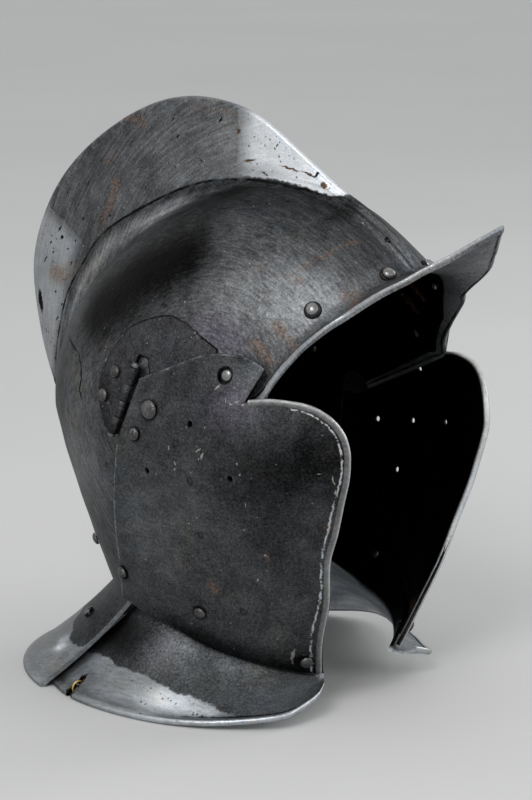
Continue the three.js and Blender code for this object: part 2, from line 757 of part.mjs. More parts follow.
// Closed section: strip top, waist and rim, thickened by the plate and rounded at the rim
function guardSection(stripTop, waist, rim, outward) {
  const flat = rim.clone().sub(waist);
  const across = new THREE.Vector3(flat.x, flat.y, 0).normalize();
  const steps = 4;
  const line = [];
  const bend = lerpPoint(waist, rim, 0.45);
  bend.addScaledVector(across, -flangeSag);
  bend.z -= flangeSag;
  for (let k = 0; k <= steps; k += 1) {
    const t = k / steps;
    line.push(lerpPoint(lerpPoint(waist, bend, t), lerpPoint(bend, rim, t), t));
  }
  const normalAt = (k) => {
    const before = line[Math.max(0, k - 1)];
    const after = line[Math.min(steps, k + 1)];
    const along = after.clone().sub(before).normalize();
    const side = across.clone().cross(new THREE.Vector3(0, 0, 1));
    const normal = side.cross(along).normalize();
    return normal.z < 0 ? normal.negate() : normal;
  };
  const outer = [stripTop.clone().addScaledVector(outward, plate / 2)];
  const inner = [stripTop.clone().addScaledVector(outward, -plate / 2)];
  line.forEach((point, k) => {
    const normal = k === 0 ? outward.clone().add(normalAt(0)).normalize() : normalAt(k);
    if (k < steps) {
      outer.push(point.clone().addScaledVector(normal, plate / 2));
      inner.push(point.clone().addScaledVector(normal, -plate / 2));
    }
  });
  const bead = [];
  const beadSteps = 5;
  const last = normalAt(steps);
  const along = rim.clone().sub(line[steps - 1]).normalize();
  for (let k = 0; k <= beadSteps; k += 1) {
    const turn = lerp(beadTurn, -beadTurn, k / beadSteps) * degree;
    bead.push(rim.clone().addScaledVector(last, neckRim * Math.sin(turn))
      .addScaledVector(along, neckRim * Math.cos(turn)));
  }
  return { outer, bead, inner, rim };
}

function guardSolid(sections) {
  const loops = sections.map(({ outer, bead, inner }) => [...outer, ...bead, ...inner.slice().reverse()]);
  const size = loops[0].length;
  const points = loops.flat();
  const faces = [];
  for (let s = 0; s < loops.length - 1; s += 1) {
    for (let k = 0; k < size; k += 1) {
      const next = (k + 1) % size;
      const a = s * size + k;
      const b = s * size + next;
      faces.push([a, b, b + size], [a, b + size, a + size]);
    }
  }
  const cap = (first, flip) => {
    const face = (a, b, c) => {
      const order = flip ? [a, c, b] : [a, b, c];
      faces.push(order.map((k) => first + k));
    };
    for (let k = 0; k < size / 2 - 1; k += 1) {
      const far = size - 1 - k;
      face(k, far, far - 1);
      if (k !== far - 2) face(k, far - 1, k + 1);
    }
  };
  cap(0, false);
  cap((loops.length - 1) * size, true);
  return solid(geometryFrom(points, faces));
}

// Everything below the rest plane, cut off so that the turned rims stand flat
function floor() {
  const wide = combHeight * 8;
  const box = new THREE.BoxGeometry(wide, wide, overrun);
  box.translate(0, 0, -overrun / 2);
  return solid(box);
}

// Value of a list of numbers between its stations
function along(list, station) {
  return smooth(list.map((value, k) => [k, value]), station);
}

function cheekBottomUp(forward) {
  const line = [...cheekOutline.bottom, cheekOutline.front[0]];
  return straight([cheekOutline.rear[cheekOutline.rear.length - 1], ...line], forward);
}

function flangeWaistPlace(station) {
  const forward = along(flangeWaist, station);
  const tuck = along(flangeTuckShares, station);
  const up = lerp(cheekBottomUp(forward) - flangeDrop, flangeTuckUp, Math.min(1, tuck * 8));
  return { forward, up, tuck };
}

function flangeSection(side, rims, station) {
  const { forward, up, tuck } = flangeWaistPlace(station);
  const inset = -flangeSeat - plate / 2 - flangeTuck * tuck;
  const low = surfacePlace(cheekSide, side, forward, up);
  const outward = low.normal.clone().setZ(0).normalize();
  const waist = low.point.addScaledVector(outward, inset);
  const strip = flangeStrip * along(flangeStripShares, station);
  const high = surfacePlace(cheekSide, side, forward, up + strip);
  const stripTop = high.point.addScaledVector(high.normal, inset);
  const rim = at(side * along(rims.map((p) => p[0]), station), along(rims.map((p) => p[1]), station),
    along(rims.map((p) => p[2]), station) + neckRim - rimFlat);
  return guardSection(stripTop, waist, rim, outward);
}

function flangeSections(side, rims) {
  const steps = 18;
  return Array.from({ length: steps + 1 }, (_, k) => (
    flangeSection(side, rims, (k / steps) * (rims.length - 1))));
}

// Where the ring hangs: a hole near the rim, with a bridge of plate left between it and a notch
function ringPlace() {
  const bridgeUp = seat + ringRadius + ringWire + ringHang;
  const crossing = (station) => {
    const { outer, inner, rim } = flangeSection(-1, rightRim, station);
    const above = lerpPoint(outer[outer.length - 1], inner[inner.length - 1], 0.5);
    const down = rim.clone().sub(above).normalize();
    return { down, point: rim.clone().addScaledVector(down, (bridgeUp - rim.z) / down.z) };
  };
  const { down, point: bridge } = crossing(ringStation);
  const tangent = crossing(ringStation + 0.1).point.sub(bridge).setZ(0).normalize();
  down.addScaledVector(tangent, -down.dot(tangent)).normalize();
  const normal = tangent.clone().cross(down).normalize();
  const centre = bridge.clone().addScaledVector(down, -ringHole - ringBridge / 2);
  return { centre, bridge, normal, tangent, down };
}

function ringNotch() {
  const { centre, bridge, normal, tangent, down } = ringPlace();
  const box = new THREE.BoxGeometry(notchWidth, overrun, notchDepth * 2);
  box.translate(0, 0, notchDepth + ringBridge / 2);
  box.applyMatrix4(new THREE.Matrix4().makeBasis(tangent, normal, down).setPosition(bridge));
  return { box: solid(box), eye: hole(centre, normal, ringHole) };
}

function flangeSolid(side) {
  const body = guardSolid(flangeSections(side, side < 0 ? rightRim : leftRim));
  const tools = [floor(), ...placesOn(cheekSide, side, flangeRivets)
    .map(({ point, normal }) => hole(point, normal, rivet.hole))];
  if (side < 0) {
    const notch = ringNotch();
    tools.push(notch.box, notch.eye);
  }
  return cut(body, tools);
}

// Nape plate, behind the pins of both hinges

function napeRim(phase) {
  const frontShare = (earForward - napeRimFrontForward) / napeRimBack;
  const first = Math.asin(frontShare ** (napeRimRoundness / 2)) / degree;
  const turn = lerp(first, 90, (phase - napeWaistFrontPhase) / (90 - napeWaistFrontPhase));
  const back = Math.sin(turn * degree) ** (2 / napeRimRoundness) * napeRimBack;
  return [Math.cos(turn * degree) * napeRimHalfWidth, back];
}

function napeSection(phase) {
  const inset = plate + flangeSeat + plate / 2;
  const folded = phase > 90 ? 180 - phase : phase;
  const side = phase > 90 ? 1 : -1;
  const [across, back] = napeRim(folded);
  const waist = napePlace(phase, skullBottomUp - flangeDrop, inset);
  const stripTop = napePlace(phase, skullBottomUp + napeStrip, inset);
  const outward = napeNormal(phase, skullBottomUp).setZ(0).normalize();
  const rim = at(side * across, earForward - back, neckRim - rimFlat);
  return guardSection(stripTop, waist, rim, outward);
}

function napeSections() {
  const steps = 20;
  return Array.from({ length: steps + 1 }, (_, k) => (
    napeSection(lerp(napeWaistFrontPhase, 180 - napeWaistFrontPhase, k / steps))));
}

function napePlateRivetPlaces() {
  return napePlateRivetPhases.map((phase) => {
    const section = napeSection(phase);
    const point = lerpPoint(section.outer[2], section.outer[3], 0.5);
    const inner = lerpPoint(section.inner[2], section.inner[3], 0.5);
    return { point, normal: point.clone().sub(inner).normalize() };
  });
}

function napePlateSolid() {
  const body = guardSolid(napeSections());
  const places = [...napeRivetPlaces(), ...napePlateRivetPlaces()];
  return cut(body, [floor(), ...places.map(({ point, normal }) => hole(point, normal, rivet.hole))]);
}

// Where a washer sits: the bowl's outside as it really runs there, found round the washer's edge
function seatedPlace(target, side, [forward, up], radius) {
  const { point, normal } = surfacePlace(bowlSide, side, forward, up);
  const first = new THREE.Vector3().crossVectors(normal, new THREE.Vector3(0, 0, 1)).normalize();
  const second = new THREE.Vector3().crossVectors(normal, first);
  const ray = new THREE.Raycaster();
  const hits = Array.from({ length: 8 }, (_, k) => {
    const turn = (k / 8) * Math.PI * 2;
    const start = point.clone().addScaledVector(first, radius * Math.cos(turn))
      .addScaledVector(second, radius * Math.sin(turn)).addScaledVector(normal, overrun);
    ray.set(start, normal.clone().negate());
    return ray.intersectObject(target)[0].point;
  });
  const tilt = hits[0].clone().sub(hits[4]).cross(hits[2].clone().sub(hits[6])).normalize();
  if (tilt.dot(normal) < 0) tilt.negate();
  const middle = hits.reduce((sum, hit) => sum.add(hit), new THREE.Vector3()).divideScalar(hits.length);
  const proud = Math.max(...hits.map((hit) => hit.clone().sub(middle).dot(tilt)));
  return { point: middle.addScaledVector(tilt, proud), normal: tilt };
}

const skullForm = new THREE.Mesh(geometryOf(skullSolid()), new THREE.MeshStandardMaterial(
  { side: THREE.DoubleSide }));
const browPlaces = (side) => browRivets.map((place) => (
  seatedPlace(skullForm, side, place, washer.radius)));

// The skull's own holes
function skullPierced() {
  const tools = [];
  for (const side of [-1, 1]) {
    tools.push(...browPlaces(side).map(({ point, normal }) => hole(point, normal, rivet.hole)));
    tools.push(...leafHoles(bowlSide, side, patchRivets));
    const [open] = placesOn(bowlSide, side, [browHole]);
    const [locate] = placesOn(bowlSide, side, [studPlace]);
    tools.push(hole(open.point, open.normal, browHoleRadius));
    tools.push(hole(locate.point, locate.normal, rivet.hole));
  }
  tools.push(...napeRivetPlaces().map(({ point, normal }) => hole(point, normal, rivet.hole)));
  return cut(solid(skullForm.geometry), tools);
}

function studSolid(side) {
  const [{ point, normal }] = placesOn(bowlSide, side, [studPlace]);
  const top = cheekStandoff + plate + stud.proud;
  const inner = -plate - rivet.burrSeat;
  const profile = [[0, inner - rivet.burrHeight], [rivet.burr, inner], [rivet.shank, inner],
    [rivet.shank, seat], [stud.neck, seat],
    [stud.neck, cheekStandoff + plate / 2], [stud.radius, cheekStandoff + plate],
    [stud.radius * 0.9, lerp(cheekStandoff + plate, top, 0.6)], [stud.radius * 0.5, top - seat], [0, top]];
  return turned(profile, rivetSides, point, normal);
}

function washerSolid({ point, normal }) {
  const profile = [[washer.bore, seat], [washer.radius, seat], [washer.radius * 0.94, seat + washer.thick],
    [washer.bore, seat + washer.thick], [washer.bore, seat]];
  return turned(profile, 12, point, normal);
}

function ringGeometry() {
  const geometry = new THREE.TorusGeometry(ringRadius, ringWire, 6, 20);
  const { bridge, tangent } = ringPlace();
  const up = new THREE.Vector3(0, 0, 1);
  const across = tangent.clone().cross(up);
  const basis = new THREE.Matrix4().makeBasis(across, up, across.clone().cross(up));
  geometry.applyMatrix4(basis.setPosition(bridge.x, bridge.y, bridge.z - ringHang));
  return geometryOf(solid(geometry));
}

// Materials

function steel(colour, roughness) {
  return new THREE.MeshStandardMaterial({ color: colour, roughness, metalness: 0.9 });
}

function makeMesh(name, bodies, material) {
  const whole = Array.isArray(bodies) ? join(bodies) : bodies;
  const mesh = new THREE.Mesh(geometryOf(whole), material);
  mesh.name = name;
  return mesh;
}

const blackSteel = () => steel(0x2c2f33, 0.5);
const greySteel = () => steel(0x6f7274, 0.4);
const brightSteel = () => steel(0xb8b8b4, 0.3);
const brass = () => new THREE.MeshStandardMaterial({ color: 0xb08d3a, roughness: 0.35, metalness: 1 });

const helmet = new THREE.Group();
helmet.name = 'burgonet';

function addRivets(names, kind, places, lift, depth, material, burr = true) {
  places.forEach(({ point, normal }, k) => {
    const seatPoint = point.clone().addScaledVector(normal, lift);
    const body = rivetSolid(kind, seatPoint, normal, depth + lift, rivetSides, burr);
    helmet.add(makeMesh(names[k], body, material));
  });
}

helmet.add(makeMesh('skull', skullPierced(), blackSteel()));
helmet.add(makeMesh('nape_plate', napePlateSolid(), greySteel()));
addRivets(['nape_rivet_right', 'nape_rivet_middle', 'nape_rivet_left'], rivet, napeRivetPlaces(), 0,
  plate * 2 + flangeSeat, greySteel());
addRivets(['nape_lining_rivet_right', 'nape_lining_rivet_left'], rivet, napePlateRivetPlaces(), seat,
  plate, greySteel());

for (const side of [-1, 1]) {
  const hand = side < 0 ? 'right' : 'left';
  const named = (...parts) => parts.map((part) => `${hand}_${part}`);
  const add = (part, body, material) => helmet.add(makeMesh(`${hand}_${part}`, body, material));
  const onBowl = (places) => placesOn(bowlSide, side, places);
  const onCheek = (places) => placesOn(cheekSide, side, places);
  browPlaces(side).forEach((place, k) => {
    add(['brow_washer_rear', 'brow_washer_front'][k], washerSolid(place), greySteel());
  });
  addRivets(named('brow_rivet_rear', 'brow_rivet_front'), rivet, browPlaces(side),
    seat + washer.thick, plate * 1.35, brightSteel());
  add('locating_stud', studSolid(side), brightSteel());
  add('hinge_skull_leaf', skullLeafSolid(side), blackSteel());
  addRivets(named('hinge_skull_rivet_upper', 'hinge_skull_rivet_lower'), rivet, onBowl(patchRivets),
    leafSeat + leaf, plate, greySteel());
  add('hinge_pin', pinSolid(side), brightSteel());
  add('cheekpiece', cheekSolid(side), blackSteel());
  add('hinge_cheek_leaf', cheekLeafSolid(side), blackSteel());
  const [upper, lower] = onCheek(leafRivets);
  addRivets(named('hinge_cheek_rivet_upper'), bigRivet, [upper], plate, leaf + leafSeat, greySteel(),
    false);
  addRivets(named('hinge_cheek_rivet_lower'), rivet, [lower], plate, leaf + leafSeat, greySteel(),
    false);
  addRivets(named('cheek_lining_rivet'), rivet, onCheek([liningRivet]), plate, 0, greySteel());
  add('neck_flange', flangeSolid(side), greySteel());
  addRivets(named('flange_rivet_rear', 'flange_rivet_front'), rivet, onCheek(flangeRivets), plate,
    plate + flangeSeat, greySteel());
}

const ring = new THREE.Mesh(ringGeometry(), brass());
ring.name = 'brass_ring';
helmet.add(ring);

// The origin is the middle of the footprint on the rest plane
helmet.position.y = -new THREE.Box3().setFromObject(helmet).getCenter(new THREE.Vector3()).y;

export default helmet;
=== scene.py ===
import math

import bmesh
import bpy
import numpy as np
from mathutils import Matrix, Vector
from mathutils.bvhtree import BVHTree
from mathutils.geometry import delaunay_2d_cdt


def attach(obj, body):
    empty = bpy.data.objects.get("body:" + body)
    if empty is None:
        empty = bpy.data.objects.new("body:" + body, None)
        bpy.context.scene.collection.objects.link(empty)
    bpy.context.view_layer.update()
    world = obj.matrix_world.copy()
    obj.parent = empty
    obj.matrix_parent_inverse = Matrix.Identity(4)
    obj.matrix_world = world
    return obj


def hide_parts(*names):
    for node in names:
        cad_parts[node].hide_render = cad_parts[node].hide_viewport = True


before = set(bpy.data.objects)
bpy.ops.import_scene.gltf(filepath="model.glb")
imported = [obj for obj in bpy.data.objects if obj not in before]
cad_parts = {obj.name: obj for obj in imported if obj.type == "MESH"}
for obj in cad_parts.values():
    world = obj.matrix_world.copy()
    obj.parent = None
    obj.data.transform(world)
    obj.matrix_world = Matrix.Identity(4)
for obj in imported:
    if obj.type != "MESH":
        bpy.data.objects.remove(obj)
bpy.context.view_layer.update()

rng = np.random.default_rng(7)

# Lengths are millimetres in (x, y, z) with y = -forward, before SHIFT; pieces are made in metres.
SHIFT = -29.27191925048828
PLATE, LEAF, SEAT, LEAF_SEAT = 2.0, 1.0, 0.3, 0.5
EAR_F, EAR_Z = -30.0, 130.0
BOWL_HALF, BOWL_BACK, BOWL_ROUND = 83.0, 109.0, 1.8
BOWL_REACH = [[0, 1.202], [25, 1.202], [35, 1.186], [43, 1.155], [54, 1.125], [62, 1.113], [81, 1.062],
              [98, 0.995], [122, 0.954], [145, 0.9725], [158, 0.995], [170, 1.003], [180, 1]]
EAR_NOTCH, SKULL_LOW = 8.0, 47.0
COMB = 58.0
COMB_H = [[0, 0.03], [35, 0.06], [43, 0.1], [54, 0.115], [65, 0.13], [77, 0.3], [93, 0.69], [107, 0.905],
          [125, 1], [143, 1.005], [157, 0.88], [168.5, 0.645], [180, 0.435]]
COMB_FADE, CREST, ROOT, THICKEN, FILLET = 50.0, 1.6, 5.2, 25.0, 13.0
FILLET_SHARES = [[0, 0.3], [43, 0.6], [62, 0.5], [81, 0.3], [98, 0.4], [122, 0.5], [145, 0.68], [158, 0.85],
                 [180, 1]]
BROW = dict(start=24.0, sweep=12.4, phase=33.0, power=5.0, blend=3.6)
PEAK_HALF, PEAK_CORNER, PEAK_TIP, PEAK_RIM, BROW_LIP = 69.0, (36.0, 159.5), (118.7, 236.7), 3.2, 2.5
PEAK_EDGE = [[0, 1, 1], [0.145, 0.921, 0.925], [0.297, 0.827, 0.842], [0.42, 0.735, 0.769], [0.536, 0.638, 0.683],
             [0.623, 0.503, 0.588], [0.688, 0.369, 0.486], [0.804, 0.272, 0.389], [0.87, 0.157, 0.266],
             [0.93, 0.042, 0.11], [1, 0, 0]]  # shares of the half width, of the way forward and up
STANDOFF = LEAF + LEAF_SEAT * 2.4
CHEEK_RIM = 1.7
CHEEK_F0, CHEEK_L, CHEEK_Z0, CHEEK_H = -56.3, 129.7, 18.0, 157.5
CHEEK_FRONT = [[0.733, 0], [0.779, 0.114], [0.841, 0.251], [0.887, 0.394], [0.929, 0.486],
               [0.966, 0.584], [0.992, 0.66], [1, 0.711], [0.997, 0.752], [0.983, 0.794],
               [0.955, 0.832], [0.915, 0.861], [0.87, 0.878], [0.82, 0.885], [0.75, 0.888],
               [0.679, 0.881]]
CHEEK_TOP = [[0.719, 0.97], [0.662, 0.992], [0.594, 1], [0.526, 0.997], [0.466, 0.987],
             [0.383, 0.959], [0.263, 0.915], [0.214, 0.898]]
CHEEK_REAR = [[0.127, 0.711], [0.1, 0.622], [0.069, 0.508], [0.05, 0.406], [0.036, 0.298], [0, 0.181]]
CHEEK_LOW = [[0.088, 0.167], [0.207, 0.145], [0.386, 0.098], [0.592, 0.046], [0.673, 0.02]]
PIN_TOP, PIN_LOW = [0.186, 0.927], [0.098, 0.724]
PIN_R, PIN_HEAD, PIN_HEAD_L = 1.1, 1.9, 2.0
KNUCKLE_R, KNUCKLE_LIFT, KNUCKLES, TAIL = 2.4, 2.75, 4, 4.4
PATCH = [[0.033, 0.737], [-0.012, 0.825], [-0.01, 0.902], [0.029, 0.965], [0.103, 1.035],
         [0.278, 1.083], [0.353, 1.07], [0.507, 1.007], [0.5, 0.968], [0.254, 0.884],
         [0.223, 0.956], [0.175, 0.961], [0.16, 0.923], [0.072, 0.72]]
CHEEK_LEAF = [[0.112, 0.701], [0.198, 0.891], [0.311, 0.855], [0.326, 0.806], [0.254, 0.705],
              [0.195, 0.687]]
NECK_RIM, RIM_FLAT, SAG, FLANGE_SEAT, FLANGE_DROP, STRIP = 1.6, 0.45, 3.0, 0.75, 1.9, 21.0
STRIP_SHARES = [0.55, 0.6, 0.68, 0.8, 0.95, 1, 0.8, 0.08, 0.06, 0.06]
WAIST_SHARES = [0.729, 0.716, 0.696, 0.65, 0.573, 0.465, 0.326, 0.18, 0.079, 0.002]
TUCK, TUCK_Z = 6.0, 42.0
TUCK_SHARES = [0, 0, 0, 0, 0, 0, 0, 0.1, 0.6, 1]
RIM_HALF, RIM_Z = 102.0, 12.0
RIGHT_RIM = [[0.328, 0.424, 1], [0.422, 0.467, 0.875], [0.529, 0.476, 0.692], [0.651, 0.451, 0.458],
             [0.765, 0.333, 0.283], [0.882, 0.147, 0.125], [0.957, -0.088, 0.033], [0.97, -0.373, 0],
             [0.92, -0.647, 0.017], [0.78, -0.925, 0.033]]
LEFT_RIM = [[0.343, 0.445, 1.2], [0.42, 0.45, 0.98], [0.475, 0.425, 0.83], [0.515, 0.36, 0.83],
            [0.57, 0.262, 0.95], [0.675, 0.1, 1], [0.843, -0.118, 0.83], [0.985, -0.373, 0.45],
            [0.92, -0.647, 0.18], [0.78, -0.925, 0.033]]
NAPE_STRIP, NAPE_HALF, NAPE_BACK, NAPE_ROUND, NAPE_PHASE, NAPE_FRONT = 26.0, 101.0, 118.0, 2.3, 24.0, -87.0
RIVET = dict(head=3.2, rise=1.9, shank=1.4, burr=2.1)
BIG_RIVET = dict(RIVET, head=4.6, rise=1.7)
WASHER = dict(radius=4.2, bore=1.8, thick=0.8)
STUD = dict(radius=3.0, neck=2.2, hole=4.2, proud=1.3)
NAPE_RIVET_Z = 66.0
RING_R, RING_WIRE, RING_DROP, RING_HOLE, BRIDGE = 3.2, 0.55, 1.1, 2.3, 0.8


def cheek_place(p):
    return [CHEEK_F0 + p[0] * CHEEK_L, CHEEK_Z0 + p[1] * CHEEK_H]


def cheek_places(*points):
    return [cheek_place(p) for p in points]


def bowl_place(p):
    return [EAR_F + p[0] * BOWL_BACK, EAR_Z + p[1] * BOWL_BACK]


BROW_RIVETS = [bowl_place(p) for p in ([0.706, 0.608], [0.875, 0.737])]
BROW_HOLE = bowl_place([0.783, 0.866])
PATCH_RIVETS = cheek_places([0.068, 0.9], [0.018, 0.825])
LEAF_RIVETS = cheek_places([0.278, 0.816], [0.214, 0.737])
LINING_RIVET = cheek_place([0.049, 0.27])
FLANGE_RIVETS = cheek_places([0.411, 0.195], [0.713, 0.05])
RIGHT_VENTS = cheek_places([0.464, 0.794], [0.265, 0.632], [0.619, 0.646])
LEFT_VENTS = cheek_places([0.517, 0.802], [0.302, 0.613], [0.483, 0.63], [0.673, 0.653], [0.429, 0.467])
STUD_PLACE = cheek_place([0.573, 0.937])


# Curves and surfaces


def smooth(pairs, x):
    """Smooth curve through (x, y) pairs, read at x."""
    xs, ys = np.array(pairs, float).T
    n = len(xs)
    x = np.asarray(x, float)
    slope = np.diff(ys) / np.diff(xs)
    i = np.clip(np.searchsorted(xs, x) - 1, 0, n - 2)
    here = slope[i]
    before = np.where(i > 0, (slope[np.maximum(i - 1, 0)] + here) / 2, here)
    after = np.where(i < n - 2, (here + slope[np.minimum(i + 1, n - 2)]) / 2, here)
    width = xs[i + 1] - xs[i]
    t = np.clip((x - xs[i]) / width, 0, 1)
    return (ys[i] + t * t * (3 - 2 * t) * (ys[i + 1] - ys[i])
            + width * (before * t * (1 - t) ** 2 - after * t * t * (1 - t)))


def along(values, station):
    return smooth([[k, v] for k, v in enumerate(values)], station)


def unit(v):
    v = np.asarray(v, float)
    return v / np.maximum(np.linalg.norm(v, axis=-1, keepdims=True), 1e-9)


def bowl_reach(angle):
    return BOWL_BACK * smooth(BOWL_REACH, angle)


def neck_half(z):
    return BOWL_HALF - 20.0 * (np.maximum(0, EAR_Z - z) / 100.0) ** 1.35


def neck_back(z):
    return BOWL_BACK - 34.0 * (np.maximum(0, EAR_Z - z) / 80.0) ** 1.15


def bowl_side(f, z):
    f, z = np.broadcast_arrays(np.asarray(f, float), np.asarray(z, float))
    angle = np.degrees(np.arctan2(np.maximum(z - EAR_Z, 0), f - EAR_F))
    upper = 1 - (np.hypot(f - EAR_F, z - EAR_Z) / bowl_reach(angle)) ** BOWL_ROUND
    lower = 1 - (np.abs(f - EAR_F) / neck_back(z)) ** BOWL_ROUND
    return np.where(z >= EAR_Z, BOWL_HALF * np.sqrt(np.maximum(0, upper)),
                    neck_half(z) * np.sqrt(np.maximum(0, lower)))


def cheek_side(f, z):
    f, z = np.broadcast_arrays(np.asarray(f, float), np.asarray(z, float))
    reach = 124.0 - 40.0 * (np.maximum(0, EAR_Z - z) / 96.0) ** 1.3
    left = 1 - (np.maximum(0, f - EAR_F) / reach) ** 2.5
    front = (bowl_side(np.full(f.shape, EAR_F), z) + STANDOFF) * np.sqrt(np.maximum(0, left))
    return np.where(f <= EAR_F, bowl_side(f, z) + STANDOFF, front)


def on_surface(surface, side, f, z, lift=0.0):
    """Places on a side surface, lifted along its outward normal, and the normals."""
    f, z = np.broadcast_arrays(np.asarray(f, float), np.asarray(z, float))
    h = 0.25

    def at(ff, zz):
        return np.stack([side * surface(ff, zz), -ff, zz], -1)

    n = unit(np.cross(at(f + h, z) - at(f - h, z), at(f, z + h) - at(f, z - h)))
    n = n * np.sign(n[..., :1] * side)
    return at(f, z) + n * np.asarray(lift)[..., None], n


def curve_through(points, step=1.0):
    """Rounded line (centripetal Catmull-Rom) through points, as evenly spaced places."""
    p = np.array(points, float)
    p = np.vstack([2 * p[0] - p[1], p, 2 * p[-1] - p[-2]])
    out = []
    for a, b, c, d in zip(p, p[1:], p[2:], p[3:]):
        knots = np.cumsum([0] + [math.sqrt(np.linalg.norm(w - v)) + 1e-6 for v, w in ((a, b), (b, c), (c, d))])
        t = np.linspace(knots[1], knots[2], max(3, int(np.linalg.norm(c - b) / step * 3)))[:-1, None]

        def mix(v, w, i, j):
            return ((knots[j] - t) * v + (t - knots[i]) * w) / (knots[j] - knots[i])

        first, middle, last = mix(a, b, 0, 1), mix(b, c, 1, 2), mix(c, d, 2, 3)
        out.append(mix(mix(first, middle, 0, 2), mix(middle, last, 1, 3), 1, 2))
    return even(np.vstack(out + [p[-2:-1]]), step)


def turns(count):
    """Angles once round, evenly spaced."""
    return np.linspace(0, 2 * math.pi, count, endpoint=False)


def even(line, step):
    """A line's places spaced evenly, about a step apart."""
    line = np.asarray(line, float)
    length = np.concatenate([[0], np.cumsum(np.linalg.norm(np.diff(line, axis=0), axis=1))])
    s = np.linspace(0, length[-1], max(2, int(round(length[-1] / step)) + 1))
    return np.stack([np.interp(s, length, line[:, k]) for k in range(line.shape[1])], 1)


def segment_distance(points, a, b):
    d = b - a
    t = np.clip(((points - a) @ d) / max(d @ d, 1e-9), 0, 1)
    return np.linalg.norm(points - (a + t[:, None] * d), axis=1)


def line_distance(points, line):
    line = np.asarray(line, float)
    return np.min([segment_distance(points, a, b) for a, b in zip(line, line[1:])], axis=0)


def signed_distance(points, polygon):
    """Distance in the plane to a polygon's edge, above zero inside."""
    points, polygon = np.asarray(points, float), np.asarray(polygon, float)
    inside = np.zeros(len(points), bool)
    for a, b in zip(polygon, np.roll(polygon, -1, 0)):
        crosses = (a[1] > points[:, 1]) != (b[1] > points[:, 1])
        rise = np.where(abs(b[1] - a[1]) < 1e-9, 1e-9, b[1] - a[1])
        inside ^= crosses & (points[:, 0] < (b[0] - a[0]) * (points[:, 1] - a[1]) / rise + a[0])
    edge = line_distance(points, np.vstack([polygon, polygon[:1]]))
    return np.where(inside, edge, -edge)


def blob(flat, f, z, long, high):
    """Soft round patch, 1 in the middle."""
    return np.exp(-((flat[:, 0] - f) / long) ** 2 - ((flat[:, 1] - z) / high) ** 2)


def blobs(flat, *spots):
    """Sum of soft patches, each (amount, forward, up, half length, half height)."""
    return sum(amount * blob(flat, *spot) for amount, *spot in spots)


def stroke(flat, line, half):
    """Soft band along a line, 1 in the middle."""
    return np.exp(-(line_distance(flat, line) / half) ** 2)


def ripple(p, size, seed, count=14):
    """Soft random waves about size long, between -1 and 1."""
    r = np.random.default_rng(seed)
    out = np.zeros(len(p))
    for _ in range(count):
        way = unit(r.normal(size=3)) * 2 * math.pi / (size * r.uniform(0.7, 1.5))
        out += np.sin(p @ way + r.uniform(0, 2 * math.pi))
    return out / math.sqrt(count) / 1.6


# Mesh making


def finish_mesh(mesh, sharp):
    mesh.shade_smooth()
    if sharp:
        mesh.set_sharp_from_angle(angle=math.radians(sharp))


def make(name, verts, faces, material, fields=None, flat=False, sharp=None):
    mesh = bpy.data.meshes.new(name)
    mesh.from_pydata(((np.array(verts, float) + [0, SHIFT, 0]) / 1000).tolist(), [],
                     [list(map(int, face)) for face in faces])
    mesh.validate()
    obj = bpy.data.objects.new(name, mesh)
    bpy.context.collection.objects.link(obj)
    for key, values in (fields or {}).items():
        mesh.attributes.new(key, "FLOAT", "POINT").data.foreach_set("value", np.asarray(values, np.float32))
    bm = bmesh.new()
    bm.from_mesh(mesh)
    bmesh.ops.recalc_face_normals(bm, faces=bm.faces)
    bm.to_mesh(mesh)
    bm.free()
    if not flat:
        finish_mesh(mesh, sharp)
    mesh.materials.append(material)
    return obj


def done(obj, body, slot, *nodes):
    if nodes:
        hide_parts(*nodes)
    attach(obj, body)
    return obj


def dress(name, form, material, body, slot, fields=None, sharp=50):
    """Makes one dressed piece in the place of the solid of that name."""
    return done(make(name + "_dressed", *form, material, fields, sharp=sharp), body, slot, name)


def tube(rings, sides):
    """Faces round a row of rings of as many places each."""
    return [(k * sides + s, k * sides + (s + 1) % sides, (k + 1) * sides + (s + 1) % sides, (k + 1) * sides + s)
            for k in range(rings - 1) for s in range(sides)]


def grid_faces(rows, columns, first=0):
    r, c = np.meshgrid(np.arange(rows - 1), np.arange(columns - 1), indexing="ij")
    a = (first + r * columns + c).ravel()
    return np.stack([a, a + 1, a + columns + 1, a + columns], 1)


def shell(outer, inner):
    """Skin between two equal grids of places, closed along its four sides."""
    rows, columns = outer.shape[:2]
    n = rows * columns
    index = np.arange(n).reshape(rows, columns)
    ring = np.concatenate([index[0], index[1:, -1], index[-1, -2::-1], index[-2:0:-1, 0]])
    wall = np.stack([ring, np.roll(ring, -1), np.roll(ring, -1) + n, ring + n], 1)
    return (np.vstack([outer.reshape(-1, 3), inner.reshape(-1, 3)]),
            [*grid_faces(rows, columns), *grid_faces(rows, columns, n)[:, ::-1], *wall])


def lathe(profile, place, normal, sides=28, wobble=0.0):
    """Turned form: profile is (radius, height) from the top down to the foot."""
    normal = unit(normal)
    first = unit(np.cross(normal, [0.31, 0.22, 0.93]))
    second = np.cross(normal, first)
    a = turns(sides)
    lobes = 1 + wobble * (np.sin(2 * a + rng.uniform(0, 6)) + 0.6 * np.sin(3 * a + rng.uniform(0, 6)))
    ring = np.outer(np.cos(a) * lobes, first) + np.outer(np.sin(a) * lobes, second)
    verts = np.vstack([place + normal * height + ring * radius for radius, height in profile])
    ends = [tuple(range(sides)), tuple(range(len(verts) - 1, len(verts) - 1 - sides, -1))]
    return verts, tube(len(profile), sides) + ends


def dome(radius, base, top, start, end, steps):
    """Profile of a rounded head, from near its top down to its rim."""
    return [(radius * math.sin(a), base + (top - base) * math.cos(a)) for a in np.linspace(start, end, steps)]


